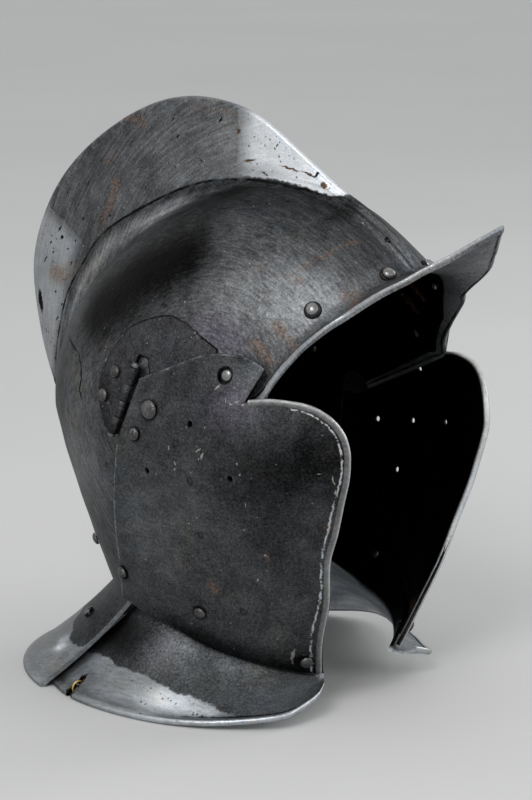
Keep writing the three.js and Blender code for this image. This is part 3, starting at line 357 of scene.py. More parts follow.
def merge(*parts):
    verts, faces, base = [], [], 0
    for v, f in parts:
        verts.append(np.asarray(v, float))
        faces += [tuple(int(i) + base for i in face) for face in f]
        base += len(v)
    return np.vstack(verts), faces


def plate_mesh(outline, holes, surface, side, lift, thick, step, round_edge=0.35, dent=None):
    """Plate with a side-view outline that follows a surface, with rounded edges and open holes."""
    lo, hi = outline.min(0), outline.max(0)
    gx, gz = np.meshgrid(np.arange(lo[0], hi[0], step), np.arange(lo[1], hi[1], step * 0.87))
    gx = gx + (np.arange(gx.shape[0]) % 2)[:, None] * step / 2
    inner = np.stack([gx.ravel(), gz.ravel()], 1)

    def room(points, spare=0.0):
        """How far points lie inside the plate's material."""
        return np.min([signed_distance(points, outline)] + [spare - signed_distance(points, hole)
                                                            for hole in holes], axis=0)

    inner = inner[room(inner, step * 0.1) > step * 0.6]
    edges, base = [], 0
    for loop in [outline] + holes:
        n = len(loop)
        edges += [(base + k, base + (k + 1) % n) for k in range(n)]
        base += n
    out = delaunay_2d_cdt([Vector(p) for p in np.vstack([outline] + holes + [inner])], edges, [], 0, 1e-6)
    p2 = np.array([list(v) for v in out[0]])
    tris = np.array([list(t) for t in out[2]])
    tris = tris[room(p2[tris].mean(1)) > 0]
    n = len(p2)
    extra = dent(p2) if dent else np.zeros(n)
    ways = {(a, b) for t in tris for a, b in ((t[0], t[1]), (t[1], t[2]), (t[2], t[0]))}
    rim = [(a, b) for t in tris for a, b in ((t[0], t[1]), (t[1], t[2]), (t[2], t[0])) if (b, a) not in ways]
    # Rounded wall: two rows between the faces, standing a little proud of the cut line
    away = {}
    for a, b in rim:
        d = p2[b] - p2[a]
        for k in (a, b):
            away[k] = away.get(k, 0) + np.array([d[1], -d[0]])
    ids = sorted(away)
    push = unit(np.array([away[k] for k in ids]))
    push = push * np.where(room(p2[ids] + push * 0.02) > 0, -1, 1)[:, None]
    bulge = p2[ids] + push * round_edge
    verts = [on_surface(surface, side, *p2.T, lift + thick * share + extra)[0] for share in (1, 0)]
    verts += [on_surface(surface, side, *bulge.T, lift + thick * share + extra[ids])[0] for share in (0.8, 0.2)]
    faces = [tuple(t) for t in tris] + [tuple(t[::-1] + n) for t in tris]
    high, low = ({k: first + i for i, k in enumerate(ids)} for first in (2 * n, 2 * n + len(ids)))
    for a, b in rim:
        faces += [(b, a, high[a], high[b]), (high[b], high[a], low[a], low[b]), (low[b], low[a], a + n, b + n)]
    return np.vstack(verts), faces, np.vstack([p2, p2, p2[ids], p2[ids]])


def circle(centre, radius, sides=20):
    a = turns(sides)
    return np.stack([centre[0] + radius * np.cos(a), centre[1] + radius * np.sin(a)], 1)


def sweep(path, across, normal, section):
    """Closed section (across, up) carried along a path; across and normal are unit ways at each place."""
    n, m = len(path), len(section)
    verts = path[:, None] + across[:, None] * section[None, :, :1] + normal[:, None] * section[None, :, 1:]
    ends = [tuple(range(m))[::-1], tuple((n - 1) * m + s for s in range(m))]
    return verts.reshape(-1, 3), tube(n, m) + ends


# Materials


class Value:
    """A shader value that takes +, - and * like a number."""

    def __init__(self, socket):
        self.socket, self.tree = socket, socket.id_data

    def __add__(self, other):
        return maths("ADD", self, other)

    def __radd__(self, other):
        return maths("ADD", other, self)

    def __sub__(self, other):
        return maths("SUBTRACT", self, other)

    def __rsub__(self, other):
        return maths("SUBTRACT", other, self)

    def __mul__(self, other):
        return maths("MULTIPLY", self, other)


def feed(socket, value):
    """Links a shader value to a socket, or sets a plain one on it."""
    if isinstance(value, Value):
        value.tree.links.new(value.socket, socket)
    else:
        socket.default_value = value


def outputs(tree, kind, values=None, **props):
    """The outputs of a new node, after its settings and inputs are made."""
    new = tree.nodes.new(kind)
    for key, setting in props.items():
        setattr(new, key, setting)
    for key, value in (values or {}).items():
        feed(new.inputs[key], value)
    return new.outputs


def node(tree, kind, values=None, out=0, **props):
    return Value(outputs(tree, kind, values, **props)[out])


def maths(kind, a, b=0.0):
    tree = (a if isinstance(a, Value) else b).tree
    return node(tree, "ShaderNodeMath", {0: a, 1: b}, operation=kind)


def span(value, low, high, to_low=0.0, to_high=1.0, kind="SMOOTHSTEP"):
    return node(value.tree, "ShaderNodeMapRange", {0: value, 1: low, 2: high, 3: to_low, 4: to_high},
                interpolation_type=kind)


def noise(where, scale, detail=4.0, rough=0.55, warp=0.0):
    return node(where.tree, "ShaderNodeTexNoise", {"Vector": where, "Scale": scale, "Detail": detail,
                                                   "Roughness": rough, "Distortion": warp}, "Fac")


def blend(share, *colours):
    a, b = ((*colour, 1) if isinstance(colour, tuple) else colour for colour in colours)
    return node(share.tree, "ShaderNodeMix", {0: share, 6: a, 7: b}, 2, data_type="RGBA")


def between(share, a, b):
    return node(share.tree, "ShaderNodeMix", {0: share, 2: a, 3: b}, data_type="FLOAT")


def waves(*pairs):
    """Sum of noises about 0, each times its amount."""
    first, *more = [(value - 0.5) * amount for value, amount in pairs]
    return sum(more, first)


def new_material(name):
    """A material, the inputs of its shader and the place on the piece as a value."""
    material = bpy.data.materials.new(name)
    material.use_nodes = True
    tree = material.node_tree
    return material, tree.nodes["Principled BSDF"].inputs, node(tree, "ShaderNodeTexCoord", out="Object")


def steel(name, tone=0.27, swing=0.05, grain=0.05, rough=(0.36, 0.5), metal=0.85, masks=(), rust=0.0,
          streaks=0.0, depth=0.4, marks=(), specks=0.0, pits=0.0, tint=(0.965, 1.0, 1.035), scale=1.0, swirl=None):
    """Worn steel. tone is how light it looks, 0 to 1. masks are names of fields on the piece: tone and lit are
    lightness, painted light and shade included; bright, rust and violet are millimetres inside a patch, crease and
    rim are millimetres off a line, and the crease line is drawn dark as a painted shadow.
    marks are (list of spots, colour), and swirl is the centre of a brushing in arcs."""
    material, inputs, where = new_material(name)
    tree = where.tree
    big, mid = noise(where, 26 * scale, 4, 0.55, 0.4), noise(where, 130 * scale, 5, 0.6, 0.3)
    fine, speck = noise(where, 900 * scale, 5, 0.65), noise(where, 2600, 3, 0.7)
    ragged = (noise(where, 320, 6, 0.72) - 0.5) * 9.0

    def attribute(key):
        return node(tree, "ShaderNodeAttribute", out="Fac", attribute_name=key)

    def field(key, low, high, reach=1.0):
        return span(attribute(key) + ragged * reach, low, high)

    def vector(kind, values, out=0):
        return node(tree, "ShaderNodeVectorMath", values, out, operation=kind)

    def cells(density):
        found = outputs(tree, "ShaderNodeTexVoronoi", {"Vector": where, "Scale": density, "Randomness": 1.0})
        return Value(found["Distance"]), Value(found["Color"])

    base = attribute("tone") if "tone" in masks else tone
    # A dark plate shows less of its grain than a light one
    gain = span(base, 0.05, 0.4, 0.85, 1.3, "LINEAR") if "tone" in masks else 1.0
    if swirl:
        middle = vector("SUBTRACT", {0: where, 1: swirl})
        x, y, z = map(Value, outputs(tree, "ShaderNodeSeparateXYZ", {0: middle}))
        arcs = node(tree, "ShaderNodeCombineXYZ", {0: x, 1: maths("ARCTAN2", z, y) * 0.011,
                                                   2: maths("SQRT", y * y + z * z)})
        brushed = noise(arcs, 850, 4, 0.68)
    else:
        brushed = noise(node(tree, "ShaderNodeMapping", {"Vector": where, "Scale": (1.0, 0.16, 1.0)}), 700, 4, 0.6)
    light = base + waves((big, swing * 3.2), (mid, swing * 2.6), (fine, grain * 3.2), (speck, grain * 2.6),
                         (brushed, streaks * 3)) * gain
    roughness, metallic = between(mid, *rough), metal
    if "bright" in masks:
        share = field("bright", -0.5, 0.7, 0.4)
        polished = attribute("lit") + waves((brushed, 0.26), (big, 0.2), (mid, 0.12), (fine, 0.2), (speck, 0.12))
        light, roughness = between(share, light, polished), between(share, roughness, 0.3)
        if pits:
            few = span(noise(where, 70, 2, 0.5), 0.66, 0.5)
            pit = span(cells(330.0)[0], 0.24, 0.14) * share
            pit = pit * maths("MAXIMUM", field("bright", 9, 0.5, 0.3) * 0.9, 1.0 - few)
            pit = pit * span(attribute("bright"), 1.7, 2.6)
            light = between(pit * pits, light, 0.16)
    if specks:
        near, pick = cells(260.0)
        chosen = span(node(tree, "ShaderNodeSeparateColor", {"Color": pick}), 0.86, 0.88)
        light = light + span(near, 0.13, 0.07) * chosen * specks
    # A thin painted shadow line along the creases and grooves that the field marks
    if "crease" in masks:
        line = span(maths("ABSOLUTE", attribute("crease") + ragged * 0.25), 1.3, 0.45, 0.0, 0.9)
        light = between(line * span(noise(where, 110, 4, 0.6), 0.4, 0.56, 0.35), light, 0.06)
    if "rim" in masks:
        chips = span(maths("ABSOLUTE", attribute("rim") + ragged * 0.22 - 3.75), 0.5, 0.12)
        light = between(chips * span(noise(where, 240, 5, 0.75), 0.42, 0.52), light, 0.76)
    light = maths("POWER", maths("MAXIMUM", light, 0.012), 2.2)

    def shade(*dye):
        return node(tree, "ShaderNodeCombineColor", {k: light * share for k, share in enumerate(dye)})

    colour = shade(*tint)
    bluish, brownish = (span(noise(where, size, 3, 0.5, 0.8), low, high)
                        for size, low, high in ((40, 0.54, 0.7), (31, 0.58, 0.72)))
    colour = blend(bluish * 0.6, colour, shade(0.88, 0.99, 1.12))
    colour = blend(brownish * 0.45, colour, shade(1.06, 1.0, 0.9))
    if "violet" in masks:
        colour = blend(field("violet", -6, 8, 0.8) * 0.8, colour, shade(1.0, 0.95, 1.16))
    if marks:
        shake = node(tree, "ShaderNodeTexNoise", {"Vector": where, "Scale": 600.0, "Detail": 3.0}, "Color")
        shake = vector("SCALE", {0: vector("ADD", {0: shake, 1: (-0.5, -0.5, -0.5)}), "Scale": 0.0022})
        shaken = vector("ADD", {0: where, 1: shake})
        for group, paint in marks:
            share = 0.0
            for place, radii, turn in group:
                spot = node(tree, "ShaderNodeMapping", {
                    "Vector": shaken, "Location": place, "Rotation": (turn, 0.0, 0.0), "Scale": radii},
                    vector_type="TEXTURE")
                share = maths("MAXIMUM", share, span(vector("LENGTH", {0: spot}, "Value"), 1.25, 0.7))
            colour = blend(share, colour, paint)
    if "rust" in masks or rust:
        share = (field("rust", -1.2, 2.6, 0.8) if "rust" in masks
                 else span(noise(where, 60, 5, 0.6), 0.62, 0.74) * rust)
        share = share * span(noise(where, 800, 5, 0.75), 0.42, 0.62, 0.0, 0.85)
        colour = blend(share, colour, blend(span(fine, 0.4, 0.62), (0.1, 0.055, 0.035), (0.36, 0.2, 0.12)))
        roughness, metallic = between(share, roughness, 0.75), between(share, metal, 0.2)
    bump = node(tree, "ShaderNodeBump", {"Strength": depth, "Distance": 0.0007,
                                         "Height": mid * 0.8 + fine * 0.3 + speck * 0.1})
    for key, value in {"Base Color": colour, "Roughness": roughness, "Metallic": metallic, "Normal": bump,
                       "Specular IOR Level": 0.3, "Specular Tint": (0.55, 0.55, 0.55, 1)}.items():
        feed(inputs[key], value)
    return material


def at_comb(f, z, long, wide, turn=0.6, x=0.0, through=0.008):
    """A small mark on the comb, seen from the side, in metres on the finished helmet."""
    return ((x, (-f + SHIFT) / 1000, z / 1000), (through, wide / 1000, long / 1000), turn)


def line_marks(points, wide):
    """Narrow marks end to end along a line of (x, forward, up)."""
    spots = []
    for (x, f, z), (x2, f2, z2) in zip(points, points[1:]):
        spots.append(at_comb((f + f2) / 2, (z + z2) / 2, math.hypot(f2 - f, z2 - z) / 2 + wide, wide,
                             math.atan2(f2 - f, z2 - z), (x + x2) / 2000, 0.016))
    return spots


def at_cheek(f, z, long, wide, turn=0.6):
    place, _ = on_surface(cheek_side, -1, f, z, PLATE)
    return at_comb(f, z, long, wide, turn, place[0] / 1000)


COMB_PITS = [(-47.6, 272.7, 2, 0.55), (-78.6, 270.6, 1.1, 0.4), (-74.8, 262.3, 1.3, 0.75),
             (-54.9, 264.7, 0.6, 0.4), (-58.8, 251.9, 0.75, 0.7), (-85.8, 248.1, 0.5, 0.35),
             (-80.3, 248.9, 0.5, 0.4), (-75.9, 247.1, 0.8, 0.35), (-81.8, 254.9, 0.6, 0.35),
             (-147.9, 236.6, 0.9, 0.4), (-151, 227.7, 0.6, 0.4), (-119.7, 218.9, 1.1, 0.8),
             (-139.2, 215.4, 0.8, 0.7), (-156.1, 208.7, 2.2, 0.6), (-154.5, 204.6, 1.6, 1.1),
             (-144, 203.9, 0.9, 0.4), (-166.8, 192, 2.4, 0.5), (-157.8, 162.5, 1.6, 0.6), (-161, 196, 1, 0.5),
             (-150, 199, 0.8, 0.5), (-163, 201, 0.7, 0.5), (-147, 192, 1.2, 0.5), (-159, 176, 0.9, 0.5),
             (-154, 170, 1, 0.4), (-12, 263, 1, 0.35), (1, 262, 0.9, 0.6), (12, 251, 1.4, 0.7),
             (-26, 266, 0.7, 0.4)]
COMB_STAINS = [(-28, 254.6, 0.7, 4.5, -0.15), (-17.5, 249.2, 0.5, 3.4, 0.35), (-3.5, 252.8, 0.5, 6.5, 0.2),
               (8, 250.8, 0.6, 5, 0.3), (-36, 268, 1.3, 1.3, 0.3), (17, 246.5, 1.2, 2.6, 0.5)]
BACK_CRACK = [(-49, -106, 167), (-64.5, -85, 162), (-69, -80, 157), (-71, -77.5, 151), (-72, -78.5, 146.5),
              (-73, -75.6, 142.7)]
BOWL_CHIPS = [(-61.3, 167.8, 1.3, 0.5, 0.2), (-51.2, 182, 0.8, 0.5, 0.6), (-44, 185.5, 0.9, 0.3, 1.2),
              (-35, 187.8, 0.7, 0.3, 1.3), (-18.3, 188.5, 0.8, 0.3, 1.5), (-3.6, 183.1, 0.8, 0.3, 2),
              (-56.1, 180, 1, 0.6, 0.9), (-48.4, 176.6, 0.7, 0.4, 0.4), (-25.6, 186.6, 0.7, 0.5, 1),
              (-58.5, 163.5, 1.6, 0.6, 0.35), (-30, 176, 0.5, 0.4, 0.5)]
CHEEK_CHIPS = [(-7.4, 130.4, 1.1, 0.4, 0.4), (9.6, 131.6, 1.6, 0.45, 1), (11.4, 129, 1.9, 0.5, 0.5),
               (9.4, 127.4, 0.8, 0.4, 0.2), (-4.2, 123.6, 0.9, 0.4, -0.4), (-4.6, 120.4, 0.6, 0.3, 0.3),
               (28.7, 127.1, 0.7, 0.25, 0.1), (29.8, 122, 0.5, 0.25, 0.4), (30.9, 107.4, 0.9, 0.3, 0.1),
               (28.1, 94.7, 0.6, 0.25, 0.2), (35.5, 82.8, 0.7, 0.3, -0.2), (29.9, 69.5, 0.7, 0.3, -0.1),
               (16.7, 161.4, 1.6, 0.35, 0.9), (21.7, 156.1, 1.2, 0.35, -0.5), (27.2, 155.7, 1.4, 0.35, 1.4),
               (30.2, 155, 1, 0.35, 0.5), (24.4, 154.4, 1, 0.3, 1.9), (-16, 116.5, 0.7, 0.25, 0.2),
               (34.5, 29.5, 3.6, 0.6, 0.45), (33.4, 25.5, 1.2, 0.5, 0.2), (39, 24.5, 1.2, 0.5, -0.4),
               (67.8, 121.5, 2.2, 0.4, -0.1), (68, 115, 1.8, 0.45, 0.05), (63, 124.5, 0.7, 0.3, 1.4),
               (59, 110, 0.4, 0.3, 0.3), (12.5, 143, 0.5, 0.3, 0.3), (5, 98, 0.4, 0.25, 0.3)]
CHEEK_RINGS = [(3.5, 116), (5.6, 89.5), (-3.4, 133.2), (20, 52)]
black_marks = ([at_comb(f, z, a, b) for f, z, a, b in COMB_PITS] + [at_comb(-171.2, 169.4, 6.5, 1.6, -0.15)]
               + line_marks(BACK_CRACK, 0.7), (0.006, 0.006, 0.006))
bowl_chips = ([at_comb(f, z, a, b, turn, -0.079) for f, z, a, b, turn in BOWL_CHIPS], (0.36, 0.34, 0.3))
cheek_chips = ([at_cheek(*chip) for chip in CHEEK_CHIPS], (0.33, 0.31, 0.28))
# Dark rings a little wider than the rivet heads: painted shadows round the rivets
cheek_rivet_shadows = ([at_cheek(*LINING_RIVET, 3.9, 3.9, 0), at_cheek(*LEAF_RIVETS[0], 5.3, 5.3, 0),
                at_cheek(*LEAF_RIVETS[1], 3.9, 3.9, 0)] + [at_cheek(*spot, 3.9, 3.9, 0) for spot in FLANGE_RIVETS],
               (0.006, 0.006, 0.007))
cheek_plugs = ([at_cheek(f, z, 1.9, 1.7, 0) for f, z in CHEEK_RINGS], (0.016, 0.017, 0.018))
cheek_cores = ([at_cheek(f + 0.2, z + 0.1, 1.2, 1.1, 0) for f, z in CHEEK_RINGS], (0.055, 0.058, 0.06))
brown_marks = ([at_comb(f, z, a, b, turn) for f, z, a, b, turn in COMB_STAINS], (0.1, 0.06, 0.035))

MASKS = ("tone", "bright", "rust", "violet")
black = steel("blackened_plate", masks=MASKS + ("crease",), marks=(brown_marks, black_marks, bowl_chips),
              specks=0.28, pits=0.5, streaks=0.12, grain=0.095, swing=0.06, depth=0.8, swirl=(0, SHIFT / 1000, 0.15))
cheek_steel = steel("cheek_plate", masks=MASKS + ("rim",), marks=(cheek_plugs, cheek_cores, cheek_chips, cheek_rivet_shadows),
                    specks=0.25, streaks=0.035, grain=0.11, swing=0.07, depth=0.7, tint=(0.95, 1.0, 1.045))
guard_steel = steel("neck_guard_plate", masks=MASKS + ("crease",), pits=0.7, specks=0.1, grain=0.13, swing=0.07,
                    depth=0.7, tint=(0.94, 1.0, 1.05))
roll_steel = steel("turned_edge", masks=("tone", "bright"), grain=0.16, swing=0.12, rough=(0.25, 0.42), depth=1.0,
                   metal=0.6, tint=(0.985, 1.0, 1.0), scale=1.6)
leaf_steel = steel("hinge_leaf", tone=0.25, masks=("crease",), marks=(bowl_chips,), rust=0.2, depth=0.7, specks=0.3,
                   grain=0.14, swing=0.09, tint=(0.97, 0.98, 1.06))
washer_steel = steel("washer_steel", tone=0.17, swing=0.08, grain=0.1, rough=(0.3, 0.45), rust=0.3, scale=1.5)
rivet_steel = steel("rivet_steel", tone=0.35, swing=0.12, grain=0.12, rough=(0.12, 0.3), rust=0.3, scale=1.5,
                    tint=(1.0, 1.0, 0.99), depth=0.8)
stud_steel = steel("stud_steel", tone=0.52, swing=0.14, rough=(0.1, 0.26), rust=0.2, scale=1.5, tint=(1.0, 1.0, 0.99))
pin_steel = steel("pin_steel", tone=0.42, rough=(0.25, 0.4), scale=1.5)


def brass_material():
    material, inputs, where = new_material("ring_brass")
    tone = noise(where, 600, 4, 0.6)
    bump = node(where.tree, "ShaderNodeBump", {"Strength": 0.4, "Distance": 0.0002,
                                               "Height": noise(where, 1500, 3, 0.6)})
    for key, value in {"Base Color": blend(tone, (0.3, 0.2, 0.05), (0.72, 0.56, 0.2)), "Metallic": 1.0,
                       "Roughness": between(tone, 0.5, 0.25), "Normal": bump}.items():
        feed(inputs[key], value)
    return material


brass = brass_material()


# Skull: bowl, comb and peak


def brow_angle(phase):
    share = np.clip((phase - BROW["phase"]) / (90 - BROW["phase"]), 0, 1)
    return BROW["start"] + BROW["sweep"] * (1 - (1 - share) ** BROW["power"])


BOWL_STEPS, FILLET_STEPS, FIN_STEPS, CREST_STEPS = 64, 12, 18, 5


def half_row(row, side, inset):
    """Half a section of the skull: over the bowl, up the comb's fillet and side, and round its crest."""
    inside = inset > 0
    height = max(0.0, row["comb"] * 0.7 - PLATE * 2) if inside else row["comb"]
    body = min(1.0, row["comb"] / THICKEN)
    crest = CREST / 3 if inside else CREST
    root = CREST * 1.4 + (ROOT - CREST * 1.4) * body - (CREST if inside else 0)
    fillet = min(row["fillet"], height * 0.6)
    fillet_side = root + CREST + 1.4 * row["fillet"] * min(1, body * 1.6)
    half = row["half"] - inset
    end = math.degrees(math.acos(fillet_side / half))

    def on_bowl(phase):
        return (row["reach"](phase) - inset) * np.sin(np.radians(phase)) ** (2 / BOWL_ROUND)

    start = math.degrees(math.asin((EAR_NOTCH / (row["reach"](np.array(0.0)) - inset)) ** (BOWL_ROUND / 2)))
    middle = float(row["reach"](np.array(90.0)) - inset)
    first = float(on_bowl(np.array(end)))
    round_over = min(crest, (height - fillet) / 2)
    top = middle + height - round_over
    phase = start + (end - start) * np.linspace(0, 1, BOWL_STEPS + 1) ** 0.92
    parts = [(half * np.cos(np.radians(phase)), on_bowl(phase), phase)]
    t = np.linspace(0, 1, FILLET_STEPS + 1)[1:]
    parts.append(((1 - t) ** 2 * fillet_side + (2 * t * (1 - t) + t * t) * root,
                  (1 - t) ** 2 * first + 2 * t * (1 - t) * middle + t * t * (middle + fillet), end + (90 - end) * t))
    t = np.linspace(0, 1, FIN_STEPS + 1)[1:]
    parts.append((root + (crest - root) * t, middle + fillet + (top - middle - fillet) * t, np.full(len(t), 90.0)))
    a = np.linspace(0, math.pi / 2, CREST_STEPS + 1)[1:]
    parts.append((crest * np.cos(a), top + round_over * np.sin(a), np.full(len(a), 90.0)))
    across, reach, phases = np.concatenate(parts, axis=1)
    angle = np.radians(row["angle"](phases))
    return np.stack([side * across, -(row["origin"][0] + reach * np.cos(angle)),
                     row["origin"][1] + reach * np.sin(angle)], 1)


def full_row(row, inset):
    return np.vstack([half_row(row, -1, inset), half_row(row, 1, inset)[-2::-1]])


def upper_row(angle):
    top = float(angle(np.array(90.0)))
    return dict(origin=(EAR_F, EAR_Z), reach=lambda phase: bowl_reach(angle(phase)), half=BOWL_HALF,
                comb=float(COMB * smooth(COMB_H, top)), fillet=float(FILLET * smooth(FILLET_SHARES, top)),
                angle=angle)


def lower_row(z):
    fade = max(0.0, 1 - (EAR_Z - z) / COMB_FADE)
    return dict(origin=(EAR_F, z), reach=lambda phase: neck_back(z) + 0 * phase, half=float(neck_half(z)),
                comb=float(COMB * smooth(COMB_H, 180)) * fade * fade * (3 - 2 * fade), fillet=FILLET * fade,
                angle=lambda phase: 180.0 + 0 * phase)


def peak_edge(brow, above, inset):
    share = np.abs(brow[:, 0]) / PEAK_HALF
    share = np.where(brow[:, 0] > 0, share ** 0.82, share)
    rim = PEAK_RIM if inset > 0 else 0.0
    shares, *curves = zip(*PEAK_EDGE)
    forward, up = (low + (high - low) * smooth(list(zip(shares, curve)), share)
                   for low, high, curve in zip(PEAK_CORNER, PEAK_TIP, curves))
    edge = np.stack([brow[:, 0], -forward, up - rim], 1)
    lip = brow + [0, -BROW_LIP, -rim / 4 if inset > 0 else BROW_LIP / 2]
    out = np.where((edge[:, 1] < lip[:, 1])[:, None], edge, lip)
    short = brow + unit(brow - above) * BROW_LIP
    return np.where((share >= 1)[:, None], short, out)


EDGE_STEPS = np.array([0, 0.5, 1, 1.5, 2, 2.5, 3, 3.5, 4, 5, 6.5, 8.5])
INNER_STEPS, NOSE_STEPS, CROWN_ROWS, NECK_ROWS = 32, 5, 151, 63
OFF, NO_LINE = -60.0, 60.0  # fields far outside a patch, or far off a line


def peak_grid(inset):
    brow = full_row(upper_row(brow_angle), inset)
    above = full_row(upper_row(lambda phase: brow_angle(phase) + BROW["blend"]), inset)
    edge = peak_edge(brow, above, inset)
    length = 2 * np.linalg.norm(edge - brow, axis=1) + 1e-6
    rows = [1 - d / length / (1 + d / length) for d in EDGE_STEPS]
    back = [np.full(len(brow), d) for d in EDGE_STEPS]
    last = rows[-1]
    for share in np.linspace(1, 0, INNER_STEPS + 2)[1:-1]:
        rows.append(last * share)
        back.append(EDGE_STEPS[-1] + (1 - share) * length / 2)
    t = np.array(rows)[..., None]
    one, two = above + (brow - above) * t, brow + (edge - brow) * t
    return one + (two - one) * t, np.array(back)


def skull_grid(inset):
    """Rows of places from the edge of the peak over the crown to the nape, and how far behind the edge each is."""
    peak, back = peak_grid(inset)
    crown = []
    for share in np.linspace(0, 1, CROWN_ROWS) ** 0.95:
        def angle(phase, share=share):
            first = brow_angle(phase) + BROW["blend"]
            return first + (180 - first) * share
        crown.append(full_row(upper_row(angle), inset))
    crown += [full_row(lower_row(z), inset) for z in np.linspace(EAR_Z, SKULL_LOW, NECK_ROWS + 1)[1:]]
    return np.concatenate([peak, crown]), np.concatenate([back, np.full((len(crown), peak.shape[1]), 200.0)])


COMB_BRIGHT = [(-37, 292), (-36, 270), (-36, 246.6), (-22, 247), (-9.8, 246.8), (-0.5, 246), (7.5, 244.7),
               (14.8, 243.4), (22, 241.8), (29, 242.5), (40, 247), (20, 275), (-5, 292)]
COMB_LOW = [(-185, 221), (-165.5, 219.5), (-153, 213), (-145, 207.6), (-139.7, 204.6), (-143, 196),
            (-148, 180), (-153, 160), (-160, 130), (-200, 130), (-200, 200)]
COMB_BROWN = [(-164, 190), (-156, 189.5), (-148.5, 188.5), (-149.5, 181), (-158, 180.5), (-165, 183)]
COMB_CREASE = [(-160, 140), (-158, 150), (-150, 176), (-139.9, 191.2), (-126.4, 207.9), (-93.6, 227.3),
               (-57.9, 241.4), (-31.7, 245.2), (-14, 245.6), (2, 244.4), (14.5, 242.6), (26, 239.5)]
COMB_RUST = [(3.0, (-117, 270.5), (-98, 267.5)), (3.4, (-125, 216), (-119, 226), (-116, 236)),
             (2.2, (-123, 246), (-119, 249)), (1.6, (-66, 277.5), (-40, 276.5))]
RUST_SPOTS = [  # (line, half width) on the bowl's right side, in forward and up
    ([(34.5, 214.6), (40.6, 219.3), (45.5, 224.2)], 1.5), ([(33.7, 189.1), (39.6, 185), (44.8, 180.9)], 2.6),
    ([(26.1, 180.7), (31, 177.4), (35.5, 172.8)], 2.6), ([(55.9, 203.7), (62.4, 201.2), (68.3, 199)], 2.4),
    ([(30.7, 210.6), (37.6, 207.5)], 1.4), ([(12, 214.2), (18.4, 212.9)], 1.2),
    ([(-61.4, 171.5), (-61.4, 169.5)], 0.9)]
CREASE_LINE = curve_through(COMB_CREASE, 3.0)


def flat_side(flat, line):
    """Distance to a line in the flat, positive on its upper side."""
    far, sign = np.full(len(flat), 1e9), np.ones(len(flat))
    for a, b in zip(line, line[1:]):
        d = segment_distance(flat, a, b)
        turn = (b[0] - a[0]) * (flat[:, 1] - a[1]) - (b[1] - a[1]) * (flat[:, 0] - a[0])
        sign = np.where(d < far, np.where(turn < 0, -1.0, 1.0), sign)
        far = np.minimum(far, d)
    return far * sign


def ease(share):
    share = np.clip(share, 0, 1)
    return share * share * (3 - 2 * share)


def skull_tone(flat, x, comb_rise, inside, under):
    """How light each place of the skull is: the worn comb and the scorched patch, with painted light and shade:
    lit and shaded patches over the bowl, a painted highlight band at the comb's root, painted shade below it,
    a near-black inside and a lit underside of the peak.
    """
    f, z = flat.T
    # Soft lighter and darker patches over the bowl, mostly painted light and shade
    tone = 0.31 + blobs(flat, (0.075, 12, 200, 34, 17), (0.03, 6, 190, 16, 8), (-0.05, -40, 178, 20, 8),
                        (0.09, 46, 200, 22, 14), (0.08, -24, 168, 24, 9), (0.21, 4, 171, 14, 7),
                        (0.13, -80, 112, 24, 30))
    # Darker strokes: painted shade on the bowl under the comb
    for amount, line, half in ((0.3, [(-78, 184), (-52, 203), (-26, 214)], 15), (0.1, [(36, 233), (56, 217)], 9),
                               (0.11, [(-62, 234), (-30, 240), (0, 242), (30, 238)], 8)):
        tone -= amount * stroke(flat, line, half)
    tone += 0.05 * np.clip((f - 20) / 30, 0, 1)
    comb = 0.375 + 0.035 * np.clip((f + 95) / 40, 0, 1) - 0.03 * np.clip((-105 - f) / 30, 0, 1)
    comb += blobs(flat, (0.08, -42, 260, 12, 14), (0.04, -82, 246, 14, 12))
    comb -= 0.03 * stroke(flat, [(-90, 282), (-120, 262), (-150, 232)], 8)
    below = flat_side(flat, CREASE_LINE)
    sides = f < -31
    share = np.where(sides, np.clip((below + 0.8) / 1.2, 0, 1), ease((comb_rise + 1.5) / 3))
    # A painted highlight band along the bowl just under the comb's root, with a thin dip of painted shade at the
    # crease itself
    painted_root_highlight = np.exp(-((below + 7) / 4.5) ** 2) - 0.4 * np.exp(-((below + 1.5) / 2) ** 2)
    painted_root_highlight *= np.clip((-34 - f) / 40, 0, 1) * np.clip((z - 150) / 20, 0.25, 1)
    tone += np.where(sides, 0.27 * painted_root_highlight * (0.8 + 0.2 * np.sin(below * 1.9 + f / 31)), 0)
    # The inside is painted near black, as shade; the comb takes its own lightness
    tone = np.where(inside, 0.045, tone * (1 - share) + comb * share)
    # The peak's underside and its rounded nose are painted light
    return np.where(under, 0.47 + 0.05 * np.sin(x / 7 + f / 9), tone)


def comb_height_at(verts):
    """How far a place stands above the bowl's own reach, for the comb."""
    f, z = -verts[:, 1], verts[:, 2]
    angle = np.degrees(np.arctan2(np.maximum(z - EAR_Z, 0), f - EAR_F))
    rise = np.where(z >= EAR_Z, np.hypot(f - EAR_F, z - EAR_Z) - bowl_reach(angle), np.abs(f - EAR_F) - neck_back(z))
    rise = np.where(angle > 60, rise - FILLET * smooth(FILLET_SHARES, angle), OFF)
    return rise + np.where(np.abs(verts[:, 0]) < 9, 0.0, OFF)


